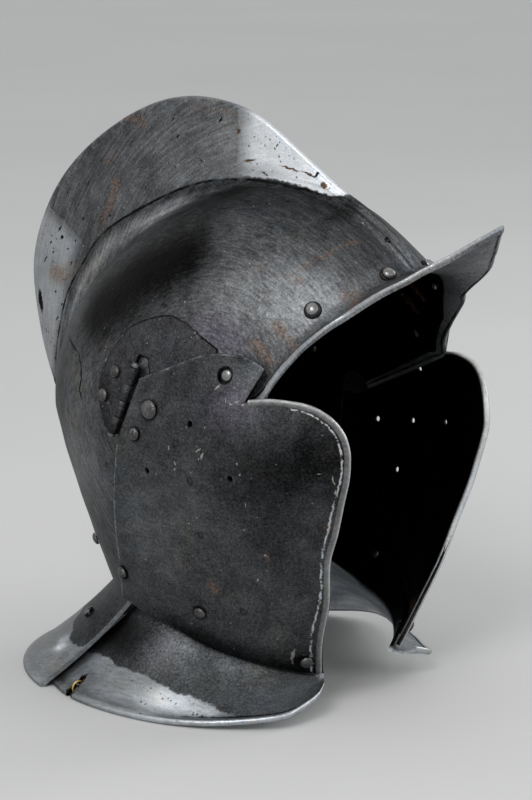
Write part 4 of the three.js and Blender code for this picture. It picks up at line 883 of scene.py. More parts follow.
def skull_fields(verts, far, under):
    """The skull's looks. far is how far behind the edge each place of the outside and inside lies."""
    x, f, z = verts[:, 0], -verts[:, 1], verts[:, 2]
    flat = np.stack([f, z], 1)
    total, n = len(verts), len(far)
    inside = np.arange(total) // n == 1
    back = np.concatenate([far, far, np.zeros(total - 2 * n)])
    comb_only = np.where(np.abs(x) < 9, 0, OFF)
    white, low = signed_distance(flat, COMB_BRIGHT), signed_distance(flat, COMB_LOW)
    rise = comb_height_at(verts)
    bright = np.maximum(white, low) + comb_only
    edge = np.where(inside, OFF, 1.5 - back)
    crest = np.where((rise > 14) & (inside | (back > 40)), 1.3 - np.abs(x), OFF)
    worn = np.maximum(np.where(inside, 0.9 - back, np.maximum(bright, edge)), crest)
    # The worn places of the comb come up softly from the grey beside them; their rise to white towards the front is a
    # painted reflection on the worn steel, and the crest brightens forward in the same painted way.
    comb_wear_and_reflection = 0.42 + 0.47 * ease((f + 41) / 17) + blobs(flat, (-0.16, -22, 249, 16, 4))
    lower = 0.42 + 0.22 * ease((low + 1) / 9) + blobs(flat, (0.05, -157, 172, 12, 12))
    lit = np.where(f > -60, comb_wear_and_reflection, lower)
    lit = np.where(crest > bright, 0.55 + 0.25 * np.clip((f + 41) / 17, 0, 1), lit)
    lit = np.where(edge > bright, 0.62, lit - 0.1 * blob(flat, -157, 185, 8, 6))
    worn[2 * n + 3 * (total - 2 * n) // NOSE_STEPS:] = OFF
    # A thin painted shadow line along the comb's root crease and in the groove behind the peak's turned edge, inside
    # and out
    crease = np.where((np.abs(x) > 2.5) & (f < 24) & ~inside, flat_side(flat, CREASE_LINE) * 1.5, NO_LINE)
    groove = np.where(inside, back - 1.9, back - 2.6)
    rust = np.max([signed_distance(flat, COMB_BROWN)] + [half - line_distance(flat, line)
                                                         for half, *line in COMB_RUST], axis=0) + comb_only
    for line, half in RUST_SPOTS:
        other = [(a - 14, b + 4) for a, b in line]
        rust = np.maximum(rust, np.where(x < -12, half - line_distance(flat, line), OFF))
        rust = np.maximum(rust, np.where(x > 12, half * 0.8 - line_distance(flat, other), OFF))
    return {"bright": worn, "lit": np.where(inside, 0.55, lit), "rust": rust,
            "crease": np.where(np.abs(groove) < np.abs(crease), groove, crease),
            "tone": skull_tone(flat, x, rise, inside, under),
            "violet": np.where(inside, OFF, 14 - np.hypot((f - 2) / 1.6, z - 178))}


def skull():
    (outer, far), (inner, _) = skull_grid(0.0), skull_grid(PLATE)
    rows, columns = outer.shape[:2]
    n, peak_rows = rows * columns, len(EDGE_STEPS) + INNER_STEPS
    normal = unit(np.cross(np.gradient(outer, axis=1), np.gradient(outer, axis=0)))
    flip = np.sign(np.sum(normal * (outer - [0, -EAR_F, EAR_Z]), -1, keepdims=True))
    normal = normal * np.where(flip == 0, 1, flip)
    # The turned edge: a low roll along the edge of the peak, with a groove behind it
    roll = np.where(far < 3.0, 0.55 * np.sqrt(np.clip(1 - ((far - 1.5) / 1.7) ** 2, 0, 1)), 0)
    roll = roll - 0.35 * np.exp(-((far - 3.5) / 0.5) ** 2)
    roll = np.where((np.abs(outer[..., 0]) < 7) & (far > 150), 0, roll)
    p = outer.reshape(-1, 3)
    dents = (0.35 * ripple(p, 46, 3) + 0.16 * ripple(p, 17, 4)) * np.clip((np.abs(p[:, 0]) - 4) / 14, 0.12, 1)
    dents = dents.reshape(rows, columns)
    outer, inner = outer + normal * (roll + dents)[..., None], inner + normal * dents[..., None]
    # A rounded nose takes the place of the wall on the edge of the peak
    ahead = unit(outer[0] - outer[6])
    nose = [(outer[0] + inner[0]) / 2 + (outer[0] - inner[0]) / 2 * math.cos(a) + ahead * 1.1 * math.sin(a)
            for a in np.linspace(0, math.pi, NOSE_STEPS + 2)[1:-1]]
    verts, faces = shell(outer, inner)
    walls = 2 * (rows - 1) * (columns - 1)
    faces = faces[:walls] + faces[walls + columns - 1:]
    across = np.arange(columns)
    levels = [across] + [2 * n + k * columns + across for k in range(NOSE_STEPS)] + [n + across]
    faces += [(a[c], a[c + 1], b[c + 1], b[c]) for a, b in zip(levels, levels[1:]) for c in range(columns - 1)]
    faces += [[level[c] for level in levels] for c in (0, -1)]
    under = np.zeros(n, bool)
    under[:peak_rows * columns] = (far[:peak_rows] < 0.82 * far[peak_rows - 1]).ravel()
    under = np.concatenate([np.zeros(n, bool), under, np.ones(NOSE_STEPS * columns, bool)])
    verts = np.vstack([verts] + nose)
    return make("skull_shell", verts, faces, black, skull_fields(verts, far.ravel(), under))


skull_obj = done(skull(), "skull", "blackened_steel", "skull")


def cut_away(obj, tools):
    """Opens real holes in a piece with bar-shaped cutters, then drops the cutters."""
    verts, faces = merge(*tools)
    cutter = make("cutter", verts, faces, black)
    mod = obj.modifiers.new("holes", "BOOLEAN")
    mod.operation, mod.solver, mod.object = "DIFFERENCE", "EXACT", cutter
    dg = bpy.context.evaluated_depsgraph_get()
    mesh = bpy.data.meshes.new_from_object(obj.evaluated_get(dg))
    obj.modifiers.clear()
    old = obj.data
    obj.data = mesh
    bpy.data.meshes.remove(old)
    bpy.data.objects.remove(cutter)
    finish_mesh(mesh, 40)


def rod(place, normal, radius, reach=12.0):
    return lathe([(radius, reach), (radius, -reach)], place, normal, 20)


tools = []
for side in (-1, 1):
    place, normal = on_surface(bowl_side, side, *BROW_HOLE)
    tools.append(rod(place, normal, 1.0, 14))
cut_away(skull_obj, tools)

tree = BVHTree.FromPolygons([v.co for v in skull_obj.data.vertices],
                            [p.vertices for p in skull_obj.data.polygons])


def on_skull(place, normal):
    """Where a line down a normal meets the dressed skull, in millimetres."""
    start = (np.asarray(place) + unit(normal) * 12 + [0, SHIFT, 0]) / 1000
    hit, n, _, _ = tree.ray_cast(Vector(start), Vector(-unit(normal)), 0.05)
    if hit is None:
        return np.asarray(place), unit(normal)
    n = np.array(n)
    return np.array(hit) * 1000 - [0, SHIFT, 0], unit(n if n @ normal > 0 else -n)


# Rivets, washers and studs


def add_rivet(name, kind, place, normal, lift, depth, body, slot="rivet_steel", burr=True, material=None):
    base, top, shank = SEAT * 0.4, SEAT + kind["rise"], kind["shank"]
    depth += lift
    profile = [(0.02, top)] + dome(kind["head"], base + 0.25, top, 0.06 * math.pi, math.pi / 2, 9)
    profile += [(kind["head"] * 0.97, base), (shank, base)]
    if burr:
        profile += [(shank, -depth - 0.5), (kind["burr"], -depth - 0.5), (kind["burr"] * 0.8, -depth - 1.1),
                    (0.02, -depth - 1.3)]
    else:
        profile += [(shank, -depth), (0.02, -depth)]
    form = lathe(profile, np.asarray(place) + unit(normal) * lift, normal, 28, 0.03)
    dress(name, form, material or rivet_steel, body, slot)


def nape_place(phase, z, inset):
    a = math.radians(phase)
    side = -math.cos(a) * (neck_half(z) - inset)
    back = math.sin(a) ** (2 / BOWL_ROUND) * (neck_back(z) - inset)
    return np.array([side, -(EAR_F - back), z], float)


def nape_normal(phase, z):
    here = nape_place(phase, z, 0)
    n = unit(np.cross(nape_place(phase + 1, z, 0) - here, nape_place(phase, z + 0.25, 0) - here))
    return n if n[1] > 0 else -n


# Neck guard


FLARE_STEPS, STRIP_STEPS, BEAD_STEPS = 22, 8, 14
FLANGE_SECTIONS, NAPE_SECTIONS = 131, 151


def bezier(a, b, c, t):
    one = a + (b - a) * t
    return one + ((b + (c - b) * t) - one) * t


def guard_section(strip_top, waist, rim, outward, steps=FLARE_STEPS, strip_steps=STRIP_STEPS, bead_steps=BEAD_STEPS):
    flat = rim - waist
    across = unit([flat[0], flat[1], 0])
    bend = waist + (rim - waist) * 0.45 - across * SAG - np.array([0, 0, SAG])
    line = [bezier(waist, bend, rim, t) for t in np.linspace(0, 1, steps + 1)]

    def normal_at(k):
        way = unit(line[min(steps, k + 1)] - line[max(0, k - 1)])
        n = unit(np.cross(np.cross(across, [0, 0, 1]), way))
        return -n if n[2] < 0 else n

    outer, inner = [], []
    first = unit(outward + normal_at(0))
    for k in range(strip_steps):
        t = k / strip_steps
        p = strip_top + (waist - strip_top) * t
        n = unit(outward * (1 - t ** 4) + first * t ** 4)
        outer.append(p + n * PLATE / 2)
        inner.append(p - n * PLATE / 2)
    for k in range(steps):
        n = first if k == 0 else normal_at(k)
        outer.append(line[k] + n * PLATE / 2)
        inner.append(line[k] - n * PLATE / 2)
    last, way = normal_at(steps), unit(rim - line[steps - 1])
    bead = []
    for turn in np.radians(np.linspace(125, -125, bead_steps + 1)):
        bead.append(rim + last * NECK_RIM * math.sin(turn) + way * NECK_RIM * math.cos(turn))
    return np.array(outer), np.array(bead), np.array(inner)


def guard_mesh(sections):
    """Skin round a row of sections, and for each place: how far down the flare it lies, 0 at the waist to 1 at the
    rim, and whether it is on the strip, underneath, on the bead or at an end."""
    size, bead = len(sections[0][0]), len(sections[0][1])
    loops = np.array([np.vstack([o, b, i[::-1]]) for o, b, i in sections])
    loops[..., 2] = np.maximum(loops[..., 2], 0)
    n, m = loops.shape[:2]
    faces = tube(n, m)
    for first in (0, (n - 1) * m):
        faces += [(first + k, first + k + 1, first + m - 2 - k, first + m - 1 - k) for k in range(size - 1)]
        faces.append(tuple(first + size - 1 + k for k in range(bead + 2)))
    place, station = np.tile(np.arange(m), n), np.repeat(np.arange(n), m)
    step = np.where(place < size, place, m - 1 - place)
    on_bead = (place >= size) & (place < size + bead)
    down = np.where(on_bead, 1.0, (step - STRIP_STEPS) / FLARE_STEPS)
    return loops.reshape(-1, 3), faces, down, (place < STRIP_STEPS, place > size + bead - 6, on_bead,
                                               (station == 0) | (station == n - 1))


def cheek_bottom(f):
    line = [cheek_place(CHEEK_REAR[-1])] + [cheek_place(p) for p in CHEEK_LOW] + [cheek_place(CHEEK_FRONT[0])]
    xs, ys = np.array(line).T
    return float(np.interp(f, xs, ys))


def rim_place(side, rims, station):
    x, back, z = (float(along(values, station)) for values in zip(*rims))
    return np.array([side * x * RIM_HALF, -back * RIM_HALF, z * RIM_Z + NECK_RIM - RIM_FLAT])


def flange_section(side, rims, station, **steps):
    f = float(cheek_place([along(WAIST_SHARES, station), 0])[0])
    tuck = float(along(TUCK_SHARES, station))
    z = cheek_bottom(f) - FLANGE_DROP
    z = z + (TUCK_Z - z) * min(1, tuck * 8)
    inset = -FLANGE_SEAT - PLATE / 2 - TUCK * tuck
    low, low_n = on_surface(cheek_side, side, f, z)
    outward = unit([low_n[0], low_n[1], 0])
    waist = low + outward * inset
    high, high_n = on_surface(cheek_side, side, f, z + STRIP * float(along(STRIP_SHARES, station)))
    strip_top = high + high_n * inset
    return guard_section(strip_top, waist, rim_place(side, rims, station), outward, **steps)


def ring_place():
    """The ring's hole, the bridge of metal below it, and the ways square to the rim, along it and down the flare."""
    def crossing(station):
        outer, _, inner = flange_section(-1, RIGHT_RIM, station, steps=4, strip_steps=1, bead_steps=5)
        rim = rim_place(-1, RIGHT_RIM, station)
        down = unit(rim - (outer[-1] + inner[-1]) / 2)
        return down, rim + down * (SEAT + RING_R + RING_WIRE + RING_DROP - rim[2]) / down[2]

    down, bridge = crossing(8)
    tangent = crossing(8.1)[1] - bridge
    tangent = unit([tangent[0], tangent[1], 0])
    down = unit(down - tangent * (down @ tangent))
    return bridge - down * (RING_HOLE + BRIDGE), bridge, unit(np.cross(tangent, down)), tangent, down


def block(place, ways, sizes):
    corners = [place + sum(w * s * (d - 0.5) for w, s, d in zip(ways, sizes, (i, j, k)))
               for i in (0, 1) for j in (0, 1) for k in (0, 1)]
    return np.array(corners), [(0, 1, 3, 2), (4, 6, 7, 5), (0, 4, 5, 1), (2, 3, 7, 6), (0, 2, 6, 4), (1, 5, 7, 3)]


GUARD_EDGE = [(-110, 14), (-74, 16.8), (-54, 18.2), (-37, 17.8), (-22, 15.2), (-13, 14), (-3, 11.9), (15, 8.2),
              (26, 7.2), (33, 3), (60, -4)]


def guard_fields(verts, down, strip, under, on_bead):
    """Lightness of the neck guard: painted shade at the waist, worn bright towards the rim at the side,
    painted light on the flare's underside and painted shade on the strip.
    """
    f, z = -verts[:, 1], verts[:, 2]
    flat = np.stack([f, z], 1)
    worn = (np.interp(f, *zip(*GUARD_EDGE)) - z) * 1.3 + 0.8 * np.sin(f / 5.3) + 0.3 * np.sin(f / 2.1 + 1)
    lit = 0.51 + blobs(flat, (0.4, -6, 9, 17, 5.5), (0.4, 17, 6, 13, 3.5), (-0.1, -60, 9, 10, 4))
    lit -= 0.13 * np.clip((down - 0.86) / 0.1, 0, 1)
    # Darker at the waist, under the cheek's edge: painted shade
    tone = 0.28 + 0.18 * np.clip((f + 5) / 40, 0, 1) - 0.12 * np.clip((0.12 - down) / 0.12, 0, 1)
    tone += blobs(flat, (0.06, 40, 11, 14, 8), (-0.25, -58, 28, 22, 11), (0.12, -20, 27, 11, 8))
    # The flare's underside is painted light; the strip's inner face is painted near black as shade
    below = np.where(down < 0, 0.05, 0.84 + 0.07 * np.sin(down * 19 + f / 6) + 0.04 * np.sin(down * 47))
    # A thin painted shadow line where the flare meets the bead
    crease = np.where(strip | under | on_bead, NO_LINE, (1 - down) * 45 - 2.0 + 6 * np.clip((6 - f) / 12, 0, 1))
    # The strip, tucked up inside the cheek, is painted dark as shade
    return {"bright": np.where(on_bead, 6, np.where(strip | under, OFF, worn)),
            "lit": np.where(on_bead, 0.5 + 0.22 * np.clip((f + 60) / 50, 0, 1), lit),
            "tone": np.where(strip, 0.12, np.where(under, below, tone)), "crease": crease,
            "violet": np.where(under, OFF, 4 - np.hypot(f + 25, z - 28)),
            "rust": np.where(strip, -40, 1.6 - np.hypot((f + 65) / 1.5, (z - 40) / 5))}


def flange(side):
    hand = "right" if side < 0 else "left"
    rims = RIGHT_RIM if side < 0 else LEFT_RIM
    verts, faces, down, kinds = guard_mesh([flange_section(side, rims, s)
                                            for s in np.linspace(0, len(rims) - 1, FLANGE_SECTIONS)])
    obj = make(f"{hand}_flange_plate", verts, faces, guard_steel, guard_fields(verts, down, *kinds[:3]), sharp=70)
    if side < 0:
        centre, bridge, normal, tangent, way = ring_place()
        notch = block(bridge + way * 5.8, (tangent, normal, way), (4.4, 12, 10))
        cut_away(obj, [notch, rod(centre, normal, RING_HOLE, 6)])
    return done(obj, f"{hand}_cheek", "guard_steel", f"{hand}_neck_flange")


def nape_rim(phase):
    share = (EAR_F - NAPE_FRONT) / NAPE_BACK
    first = math.degrees(math.asin(share ** (NAPE_ROUND / 2)))
    turn = math.radians(first + (90 - first) * (phase - NAPE_PHASE) / (90 - NAPE_PHASE))
    return math.cos(turn) * NAPE_HALF, math.sin(turn) ** (2 / NAPE_ROUND) * NAPE_BACK


def nape_section(phase, **steps):
    inset = PLATE + FLANGE_SEAT + PLATE / 2
    folded, side = (180 - phase, 1) if phase > 90 else (phase, -1)
    across, back = nape_rim(folded)
    waist = nape_place(phase, SKULL_LOW - FLANGE_DROP, inset)
    top = nape_place(phase, SKULL_LOW + NAPE_STRIP, inset)
    n = nape_normal(phase, SKULL_LOW)
    rim = np.array([side * across, -(EAR_F - back), NECK_RIM - RIM_FLAT])
    return guard_section(top, waist, rim, unit([n[0], n[1], 0]), **steps)


def nape():
    verts, faces, down, (strip, under, on_bead, last) = guard_mesh([
        nape_section(phase) for phase in np.linspace(NAPE_PHASE, 180 - NAPE_PHASE, NAPE_SECTIONS)])
    x, f, z = np.abs(verts[:, 0]), -verts[:, 1], verts[:, 2]
    worn = (20.5 - 4 * np.clip((x - 60) / 14, -1, 0.4) - z) * 1.3 + 0.8 * np.sin(x / 3)
    worn = np.where(last, 1.5, np.where(strip | under, OFF, worn))
    lit = 0.49 + 0.03 * np.sin(x / 9) + blobs(np.stack([x, z], 1), (0.45, 71, 14, 2.6, 2.0),
                                              (0.4, 66, 16.5, 3.2, 1.2))
    # The flare's underside is painted light, and the strip and its inner face are painted dark as shade
    tone = np.where(under, np.where(down < 0, 0.05, 0.45), 0.25 - 0.08 * blob(np.stack([f, z], 1), -70, 33, 9, 9))
    level = np.ones(len(verts))
    fields = {"bright": np.where(on_bead, 6, worn), "lit": np.where(on_bead, 0.56, np.where(last, 0.5, lit)),
              "tone": np.where(strip, 0.12, tone), "crease": NO_LINE * level, "violet": OFF * level,
              "rust": -40 * level}
    dress("nape_plate", (verts, faces), guard_steel, "skull", "guard_steel", fields, 70)


# Cheekpieces


def cheek_outline():
    """The cheek plate's outline seen from the side, and the line of its front edge."""
    front = curve_through(cheek_places(*CHEEK_FRONT), 1.2)
    outline = np.vstack([front, cheek_places([0.662, 0.867]), curve_through(cheek_places(*CHEEK_TOP), 1.2),
                         curve_through(cheek_places(*CHEEK_REAR), 1.4),
                         curve_through(cheek_places(CHEEK_REAR[-1], *CHEEK_LOW, CHEEK_FRONT[0]), 1.4)[1:-1]])
    way = way_out(front, outline.mean(0))
    # The sheet ends inside its turned edge
    outline[:len(front)] = front - way * 1.0
    return outline, front


def way_out(line, middle):
    """Unit ways square to a line in the flat, away from a middle."""
    along_it = unit(np.gradient(line, axis=0))
    way = np.stack([along_it[:, 1], -along_it[:, 0]], 1)
    return way * np.sign(np.sum(way * (line - middle), 1, keepdims=True))


def cheek_tone(flat, inside):
    """How light each place of a cheekpiece is: painted light over its rear, lighter near the stud and darker in
    front, painted shade along its foot over the neck flange, and a near-black inside painted as shade.
    """
    f, z = flat.T
    # Soft patches: painted light over the rear half, lighter near the stud, darker in front
    tone = 0.27 + blobs(flat, (0.1, 30, 160, 17, 12), (0.08, -34, 96, 20, 44), (0.03, -8, 74, 20, 12),
                        (0.05, 33, 168, 14, 7), (-0.15, 60, 132, 26, 17), (-0.07, 40, 118, 18, 14))
    tone -= 0.03 * np.clip((f - 18) / 30, 0, 1) * np.clip((128 - z) / 30, 0, 1)
    # Painted shade along the foot, where the cheek's lower edge stands over the neck flange
    foot = z - np.interp(f, [-56, -45, -30, -6, 20, 31, 39], [46, 44, 41, 33, 25, 21, 18])
    tone -= 0.16 * np.exp(-(foot / 8) ** 2) * np.clip((f + 40) / 25, 0, 1)
    # The inside is painted near black, as shade
    return np.where(inside, 0.05 + 0.07 * blob(flat, 30, 40, 14, 16), tone)


CHEEK_RUST = [(2.6, (5.5, 65), (8, 62.5)), (1.0, (60, 98), (66, 100)), (0.9, (35, 84), (35.5, 80)),
              (0.8, (-6, 74), (-2, 71.5))]


def cheek_fields(verts, flat, side, front, vents):
    f, z = flat.T
    rim = line_distance(flat, curve_through(cheek_places(*CHEEK_TOP), 2.0))
    rear = line_distance(flat, curve_through(cheek_places(*CHEEK_REAR), 2.0))
    worn = [np.where(z < 128, 0.75 - rear, OFF), 0.3 - rim + 0.5 * np.sin(f / 1.7) * np.sin(f / 5.3 + 1)]
    # Bright rings round the vents, lower on each hole: painted highlights on the holes' edges
    worn += [0.15 - np.abs(np.hypot(f - across, z - up + 0.8) - 2.2) for across, up in vents]
    rust = np.max([half - line_distance(flat, line) for half, *line in CHEEK_RUST], axis=0)
    surface, normal = on_surface(cheek_side, side, f, z, PLATE * 0.4)
    inside = np.sum((verts - surface) * normal, 1) < 0
    edge = line_distance(flat, front) + 0.45 * np.sin(z / 9) * (1 - np.clip((z - 118) / 25, 0, 1))
    return {"bright": np.where(inside, OFF, np.maximum(OFF, np.max(worn, axis=0))), "lit": np.full(len(f), 0.5),
            "rim": np.where(inside | ((f < 50) & (z > 140)), NO_LINE, edge), "tone": cheek_tone(flat, inside),
            "rust": np.where(inside, 5 - np.hypot(f - 38, z - 30) * 0.5, rust),
            "violet": np.where(inside, OFF, 12 - np.hypot((f - 22) / 1.3, z - 152))}


def cheekpiece(side):
    hand = "right" if side < 0 else "left"
    outline, front = cheek_outline()
    stud, stud_n = on_surface(bowl_side, side, *STUD_PLACE)
    lift = stud + stud_n * (STANDOFF + PLATE / 2)
    vents = RIGHT_VENTS if side < 0 else LEFT_VENTS
    holes = [circle(vent, 1.7) for vent in vents] + [circle((-lift[1], lift[2]), STUD["hole"], 28)]

    def dent(p):
        q = np.stack([p[:, 0] * 0 + 80 * side, -p[:, 0], p[:, 1]], 1)
        return 0.3 * ripple(q, 38, 11 + side) + 0.1 * ripple(q, 14, 13 + side)

    verts, faces, flat = plate_mesh(outline, holes, cheek_side, side, 0.0, PLATE, 1.5, dent=dent)
    obj = make(f"{hand}_cheek_plate", verts, faces, cheek_steel, cheek_fields(verts, flat, side, front, vents),
               sharp=45)
    # Turned edge down the front
    step = even(front, 0.8)
    way = way_out(step, outline.mean(0))
    centre = step - way * CHEEK_RIM
    path, normal = on_surface(cheek_side, side, *centre.T, PLATE / 2 + dent(centre))
    tangent = unit(np.gradient(path, axis=0))
    across = unit(np.cross(tangent, normal))
    a = turns(20)
    section = np.stack([half * np.sign(wave) * np.abs(wave) ** 0.8
                        for half, wave in ((CHEEK_RIM, np.cos(a)), (1.6, np.sin(a)))], 1)
    verts, faces = sweep(path, across, np.cross(across, tangent), section)
    outwards = np.sign(np.sum(across[:, 1:] * way * [-1, 1]))
    turn = np.resize(a, len(verts))
    reach = np.cos(turn) * outwards
    # The roll's lit field rises towards its outermost face: a painted highlight along the edge, on worn bright steel
    fields = {"tone": np.full(len(verts), 0.1),
              "lit": np.interp(reach, [-1, -0.5, 0, 0.4, 0.7, 1], [0.4, 0.42, 0.44, 0.55, 0.78, 0.84]),
              "bright": np.maximum((np.sin(turn) + (0.8 if side < 0 else 0.2)) * 3, (reach - 0.35) * 6)}
    done(make(f"{hand}_cheek_turned_edge", verts, faces, roll_steel, fields, sharp=70), f"{hand}_cheek",
         "bright_steel")
    done(obj, f"{hand}_cheek", "blackened_steel", f"{hand}_cheekpiece")


# Hinges


def square_ways(axis, normal):
    """Unit ways out of the bowl and rearward, both square to the hinge's axis."""
    out = unit(normal - axis * (normal @ axis))
    rearward = np.cross(axis, out)
    return out, -rearward if rearward[1] < 0 else rearward


def pin_line(side):
    """The pin's top and foot, and its axis."""
    (top, _), (low, _) = (on_surface(bowl_side, side, *cheek_place(p)) for p in (PIN_TOP, PIN_LOW))
    axis = unit(top - low)
    point, normal = on_surface(bowl_side, side, *np.mean(cheek_places(PIN_TOP, PIN_LOW), axis=0))
    out, _ = square_ways(axis, normal)
    lift = out * (KNUCKLE_LIFT + (point - low) @ out)
    return top + lift, low + lift, axis


def knuckle(side, index, towards):
    top, low, axis = pin_line(side)
    half = (np.linalg.norm(top - low) / KNUCKLES - SEAT) / 2
    centre = low + (top - low) * (index + 0.5) / KNUCKLES
    foot, normal = on_surface(bowl_side, side, -centre[1], centre[2])
    out, rearward = square_ways(axis, normal)
    drop = max(KNUCKLE_R + SEAT / 10, (centre - foot) @ out - LEAF_SEAT)
    eye = [[KNUCKLE_R * math.cos(k * math.pi / 12), KNUCKLE_R * math.sin(k * math.pi / 12)] for k in range(19)]
    profile = np.array(eye + [[0, -drop], [TAIL, -drop], [TAIL, LEAF - drop], [KNUCKLE_R, LEAF - drop]])
    profile[:, 0] *= towards
    bevel = 0.22
    small = profile * (1 - bevel / KNUCKLE_R)
    rings = ((-half, small), (bevel - half, profile), (half - bevel, profile), (half, small))
    verts = np.vstack([centre + np.outer(ring[:, 0], rearward) + np.outer(ring[:, 1], out) + axis * place
                       for place, ring in rings])
    m = len(profile)
    return verts, tube(4, m) + [tuple(range(m)), tuple(3 * m + s for s in range(m))]


def leaves(side):
    hand = "right" if side < 0 else "left"
    patch, leaf = cheek_places(*PATCH), cheek_places(*CHEEK_LEAF)
    outline = np.vstack([curve_through(patch[:7], 1.2), even(patch[6:], 1.2)[1:],
                         even([patch[-1], patch[0]], 1.2)[1:-1]])
    for name, body, outline, knuckles, towards in (
            ("skull", "skull", outline, (1, 3), 1),
            ("cheek", f"{hand}_cheek", even(leaf + leaf[:1], 1.2)[:-1], (0, 2), -1)):
        verts, faces, flat = plate_mesh(outline, [], bowl_side, side, LEAF_SEAT, LEAF, 1.6, 0.2)
        form = merge((verts, faces), *(knuckle(side, k, towards) for k in knuckles))
        crease = np.full(len(form[0]), NO_LINE)
        # A thin painted shadow line along the skull leaf's edge, where it stands off the bowl
        if name == "skull":
            crease[:len(verts)] = 2.2 * line_distance(flat, np.vstack([outline, outline[:1]])) - 0.2
        done(make(f"{hand}_{name}_leaf_dressed", *form, leaf_steel, {"crease": crease}, sharp=50), body, "leaf_steel",
             f"{hand}_hinge_{name}_leaf")
    top, low, axis = pin_line(side)
    length, head = np.linalg.norm(top - low), PIN_HEAD_L + SEAT
    profile = [(0.02, length + head), (PIN_HEAD * 0.55, length + head - 0.1), (PIN_HEAD * 0.9, length + head - 0.5),
               (PIN_HEAD, length + SEAT + 1), (PIN_HEAD, length + SEAT), (PIN_R, length + SEAT)]
    profile += [(radius, length - height) for radius, height in reversed(profile)]
    dress(f"{hand}_hinge_pin", lathe(profile, low, axis, 24), pin_steel, "skull", "bright_steel")


def fittings(side):
    hand = "right" if side < 0 else "left"
    cheek = f"{hand}_cheek"
    t, r, bore = WASHER["thick"], WASHER["radius"], WASHER["bore"]
    washer = [(bore, SEAT + t), (r * 0.8, SEAT + t), (r * 0.93, SEAT + t * 0.85), (r, SEAT + t * 0.45), (r, 0.0),
              (bore, 0.0)]
    for name, spot in zip(("rear", "front"), BROW_RIVETS):
        place, normal = on_skull(*on_surface(bowl_side, side, *spot))
        dress(f"{hand}_brow_washer_{name}", lathe(washer, place, normal, 32, 0.015), washer_steel, "skull",
              "rivet_steel")
        add_rivet(f"{hand}_brow_rivet_{name}", RIVET, place, normal, SEAT + t, PLATE, "skull", "bright_steel",
                  material=stud_steel)
    low, r, neck = STANDOFF + PLATE, STUD["radius"], STUD["neck"]
    stud = [(0.02, low + STUD["proud"])] + dome(r, low - 0.2, low + STUD["proud"], 0.15, 1.5, 9)
    stud += [(r, low - 0.4), (neck, STANDOFF + PLATE / 2), (neck, SEAT), (1.4, SEAT), (1.4, -PLATE - 0.5),
             (2.1, -PLATE - 0.5), (0.02, -PLATE - 1.3)]
    place, normal = on_surface(bowl_side, side, *STUD_PLACE)
    dress(f"{hand}_locating_stud", lathe(stud, place, normal, 32, 0.01), stud_steel, "skull", "bright_steel")
    for name, spot, kind, surface, lift, depth, body in (
            ("hinge_skull_rivet_upper", PATCH_RIVETS[0], RIVET, bowl_side, LEAF_SEAT + LEAF, PLATE, "skull"),
            ("hinge_skull_rivet_lower", PATCH_RIVETS[1], RIVET, bowl_side, LEAF_SEAT + LEAF, PLATE, "skull"),
            ("hinge_cheek_rivet_upper", LEAF_RIVETS[0], BIG_RIVET, cheek_side, PLATE, LEAF + LEAF_SEAT, cheek),
            ("hinge_cheek_rivet_lower", LEAF_RIVETS[1], RIVET, cheek_side, PLATE, LEAF + LEAF_SEAT, cheek),
            ("cheek_lining_rivet", LINING_RIVET, RIVET, cheek_side, PLATE, 0, cheek),
            ("flange_rivet_rear", FLANGE_RIVETS[0], RIVET, cheek_side, PLATE, PLATE + FLANGE_SEAT, cheek),
            ("flange_rivet_front", FLANGE_RIVETS[1], RIVET, cheek_side, PLATE, PLATE + FLANGE_SEAT, cheek)):
        place, normal = on_surface(surface, side, *spot)
        add_rivet(f"{hand}_{name}", kind, place, normal, lift, depth, body, burr="hinge_cheek" not in name)


nape()
for phase, name in ((48, "right"), (90, "middle"), (132, "left")):
    place, normal = on_skull(nape_place(phase, NAPE_RIVET_Z, 0), nape_normal(phase, NAPE_RIVET_Z))
    add_rivet(f"nape_rivet_{name}", RIVET, place, normal, 0, PLATE * 2 + FLANGE_SEAT, "skull")
for phase, name in ((44, "right"), (136, "left")):
    outer, _, inner = nape_section(phase, steps=4, strip_steps=1, bead_steps=5)
    point, under = (outer[2] + outer[3]) / 2, (inner[2] + inner[3]) / 2
    add_rivet(f"nape_lining_rivet_{name}", RIVET, point, unit(point - under), SEAT, PLATE, "skull")
for side in (-1, 1):
    cheekpiece(side)
    leaves(side)
    fittings(side)
    flange(side)

_, bridge, _, tangent, _ = ring_place()
up = np.array([0, 0, 1.0])
middle = bridge - up * RING_DROP
STEPS, SIDES = 48, 14
a, b = turns(STEPS), turns(SIDES)
path = middle + (np.outer(np.cos(a), unit(np.cross(tangent, up))) + np.outer(np.sin(a), up)) * RING_R
wire = (path - middle)[:, None] / RING_R * np.cos(b)[None, :, None] + tangent * np.sin(b)[None, :, None]
verts = (path[:, None] + wire * RING_WIRE).reshape(-1, 3)
faces = [[k % len(verts) for k in face] for face in tube(STEPS + 1, SIDES)]
dress("brass_ring", (verts, faces), brass, "ring", "ring_brass", sharp=None)


# Floor, light and camera

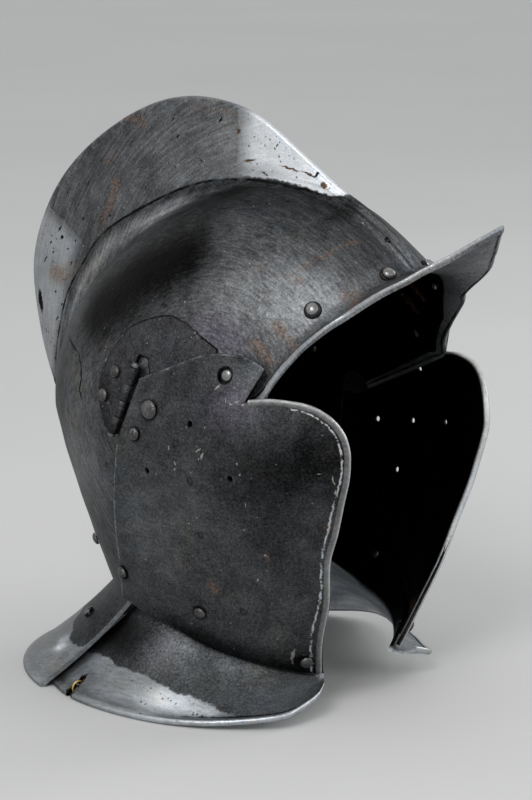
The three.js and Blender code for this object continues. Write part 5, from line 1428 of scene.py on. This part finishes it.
floor_material, inputs, where = new_material("pale_floor")
feed(inputs["Base Color"], blend(noise(where, 3, 3, 0.5), (0.74, 0.735, 0.725), (0.8, 0.795, 0.785)))
feed(inputs["Roughness"], 0.85)
REACH = 4e4
floor = make("floor", [(-REACH, -REACH, -0.2), (REACH, -REACH, -0.2), (REACH, REACH, -0.2), (-REACH, REACH, -0.2)],
             [(0, 1, 2, 3)], floor_material, flat=True)

world = bpy.data.worlds.new("studio")
bpy.context.scene.world = world
world.use_nodes = True
rays = outputs(world.node_tree, "ShaderNodeLightPath")
camera_ray, glossy, through = (Value(rays[f"Is {kind} Ray"]) for kind in ("Camera", "Glossy", "Transmission"))
seen = maths("MAXIMUM", camera_ray, maths("MAXIMUM", glossy, through))
background = world.node_tree.nodes["Background"].inputs
feed(background["Color"], blend(seen, (0.5, 0.51, 0.52), (0.86, 0.86, 0.86)))
feed(background["Strength"], 1.0)


def area(name, place, target, size, power, colour=(1, 1, 1)):
    data = bpy.data.lights.new(name, "AREA")
    data.shape, data.size, data.size_y = "RECTANGLE", size[0], size[1]
    data.energy, data.color = power, colour
    obj = bpy.data.objects.new(name, data)
    bpy.context.collection.objects.link(obj)
    obj.location = place
    obj.rotation_euler = (Vector(target) - Vector(place)).to_track_quat("-Z", "Y").to_euler()


area("key", (-1.5, -0.5, 1.5), (0, 0, 0.15), (0.9, 0.9), 14)
area("edge", (1.5, -0.5, 0.7), (0, 0, 0.15), (0.5, 1.0), 5)
area("fill", (0.6, -1.8, 0.8), (0, 0, 0.15), (1.2, 0.8), 6)

azimuth, elevation = math.radians(-50), math.radians(12)
back_way = Vector((math.sin(azimuth) * math.cos(elevation), -math.cos(azimuth) * math.cos(elevation),
                   math.sin(elevation)))
data = bpy.data.cameras.new("camera")
data.lens, data.sensor_width = 135, 36
data.clip_start, data.clip_end = 0.05, 50
camera = bpy.data.objects.new("camera", data)
bpy.context.collection.objects.link(camera)
camera.location = Vector((0, -0.00825, 0.1373)) + back_way * 1.4634
camera.rotation_mode = "QUATERNION"
camera.rotation_quaternion = (-back_way).to_track_quat("-Z", "Y")
bpy.context.scene.camera = camera
bpy.context.scene.view_settings.view_transform = "Standard"
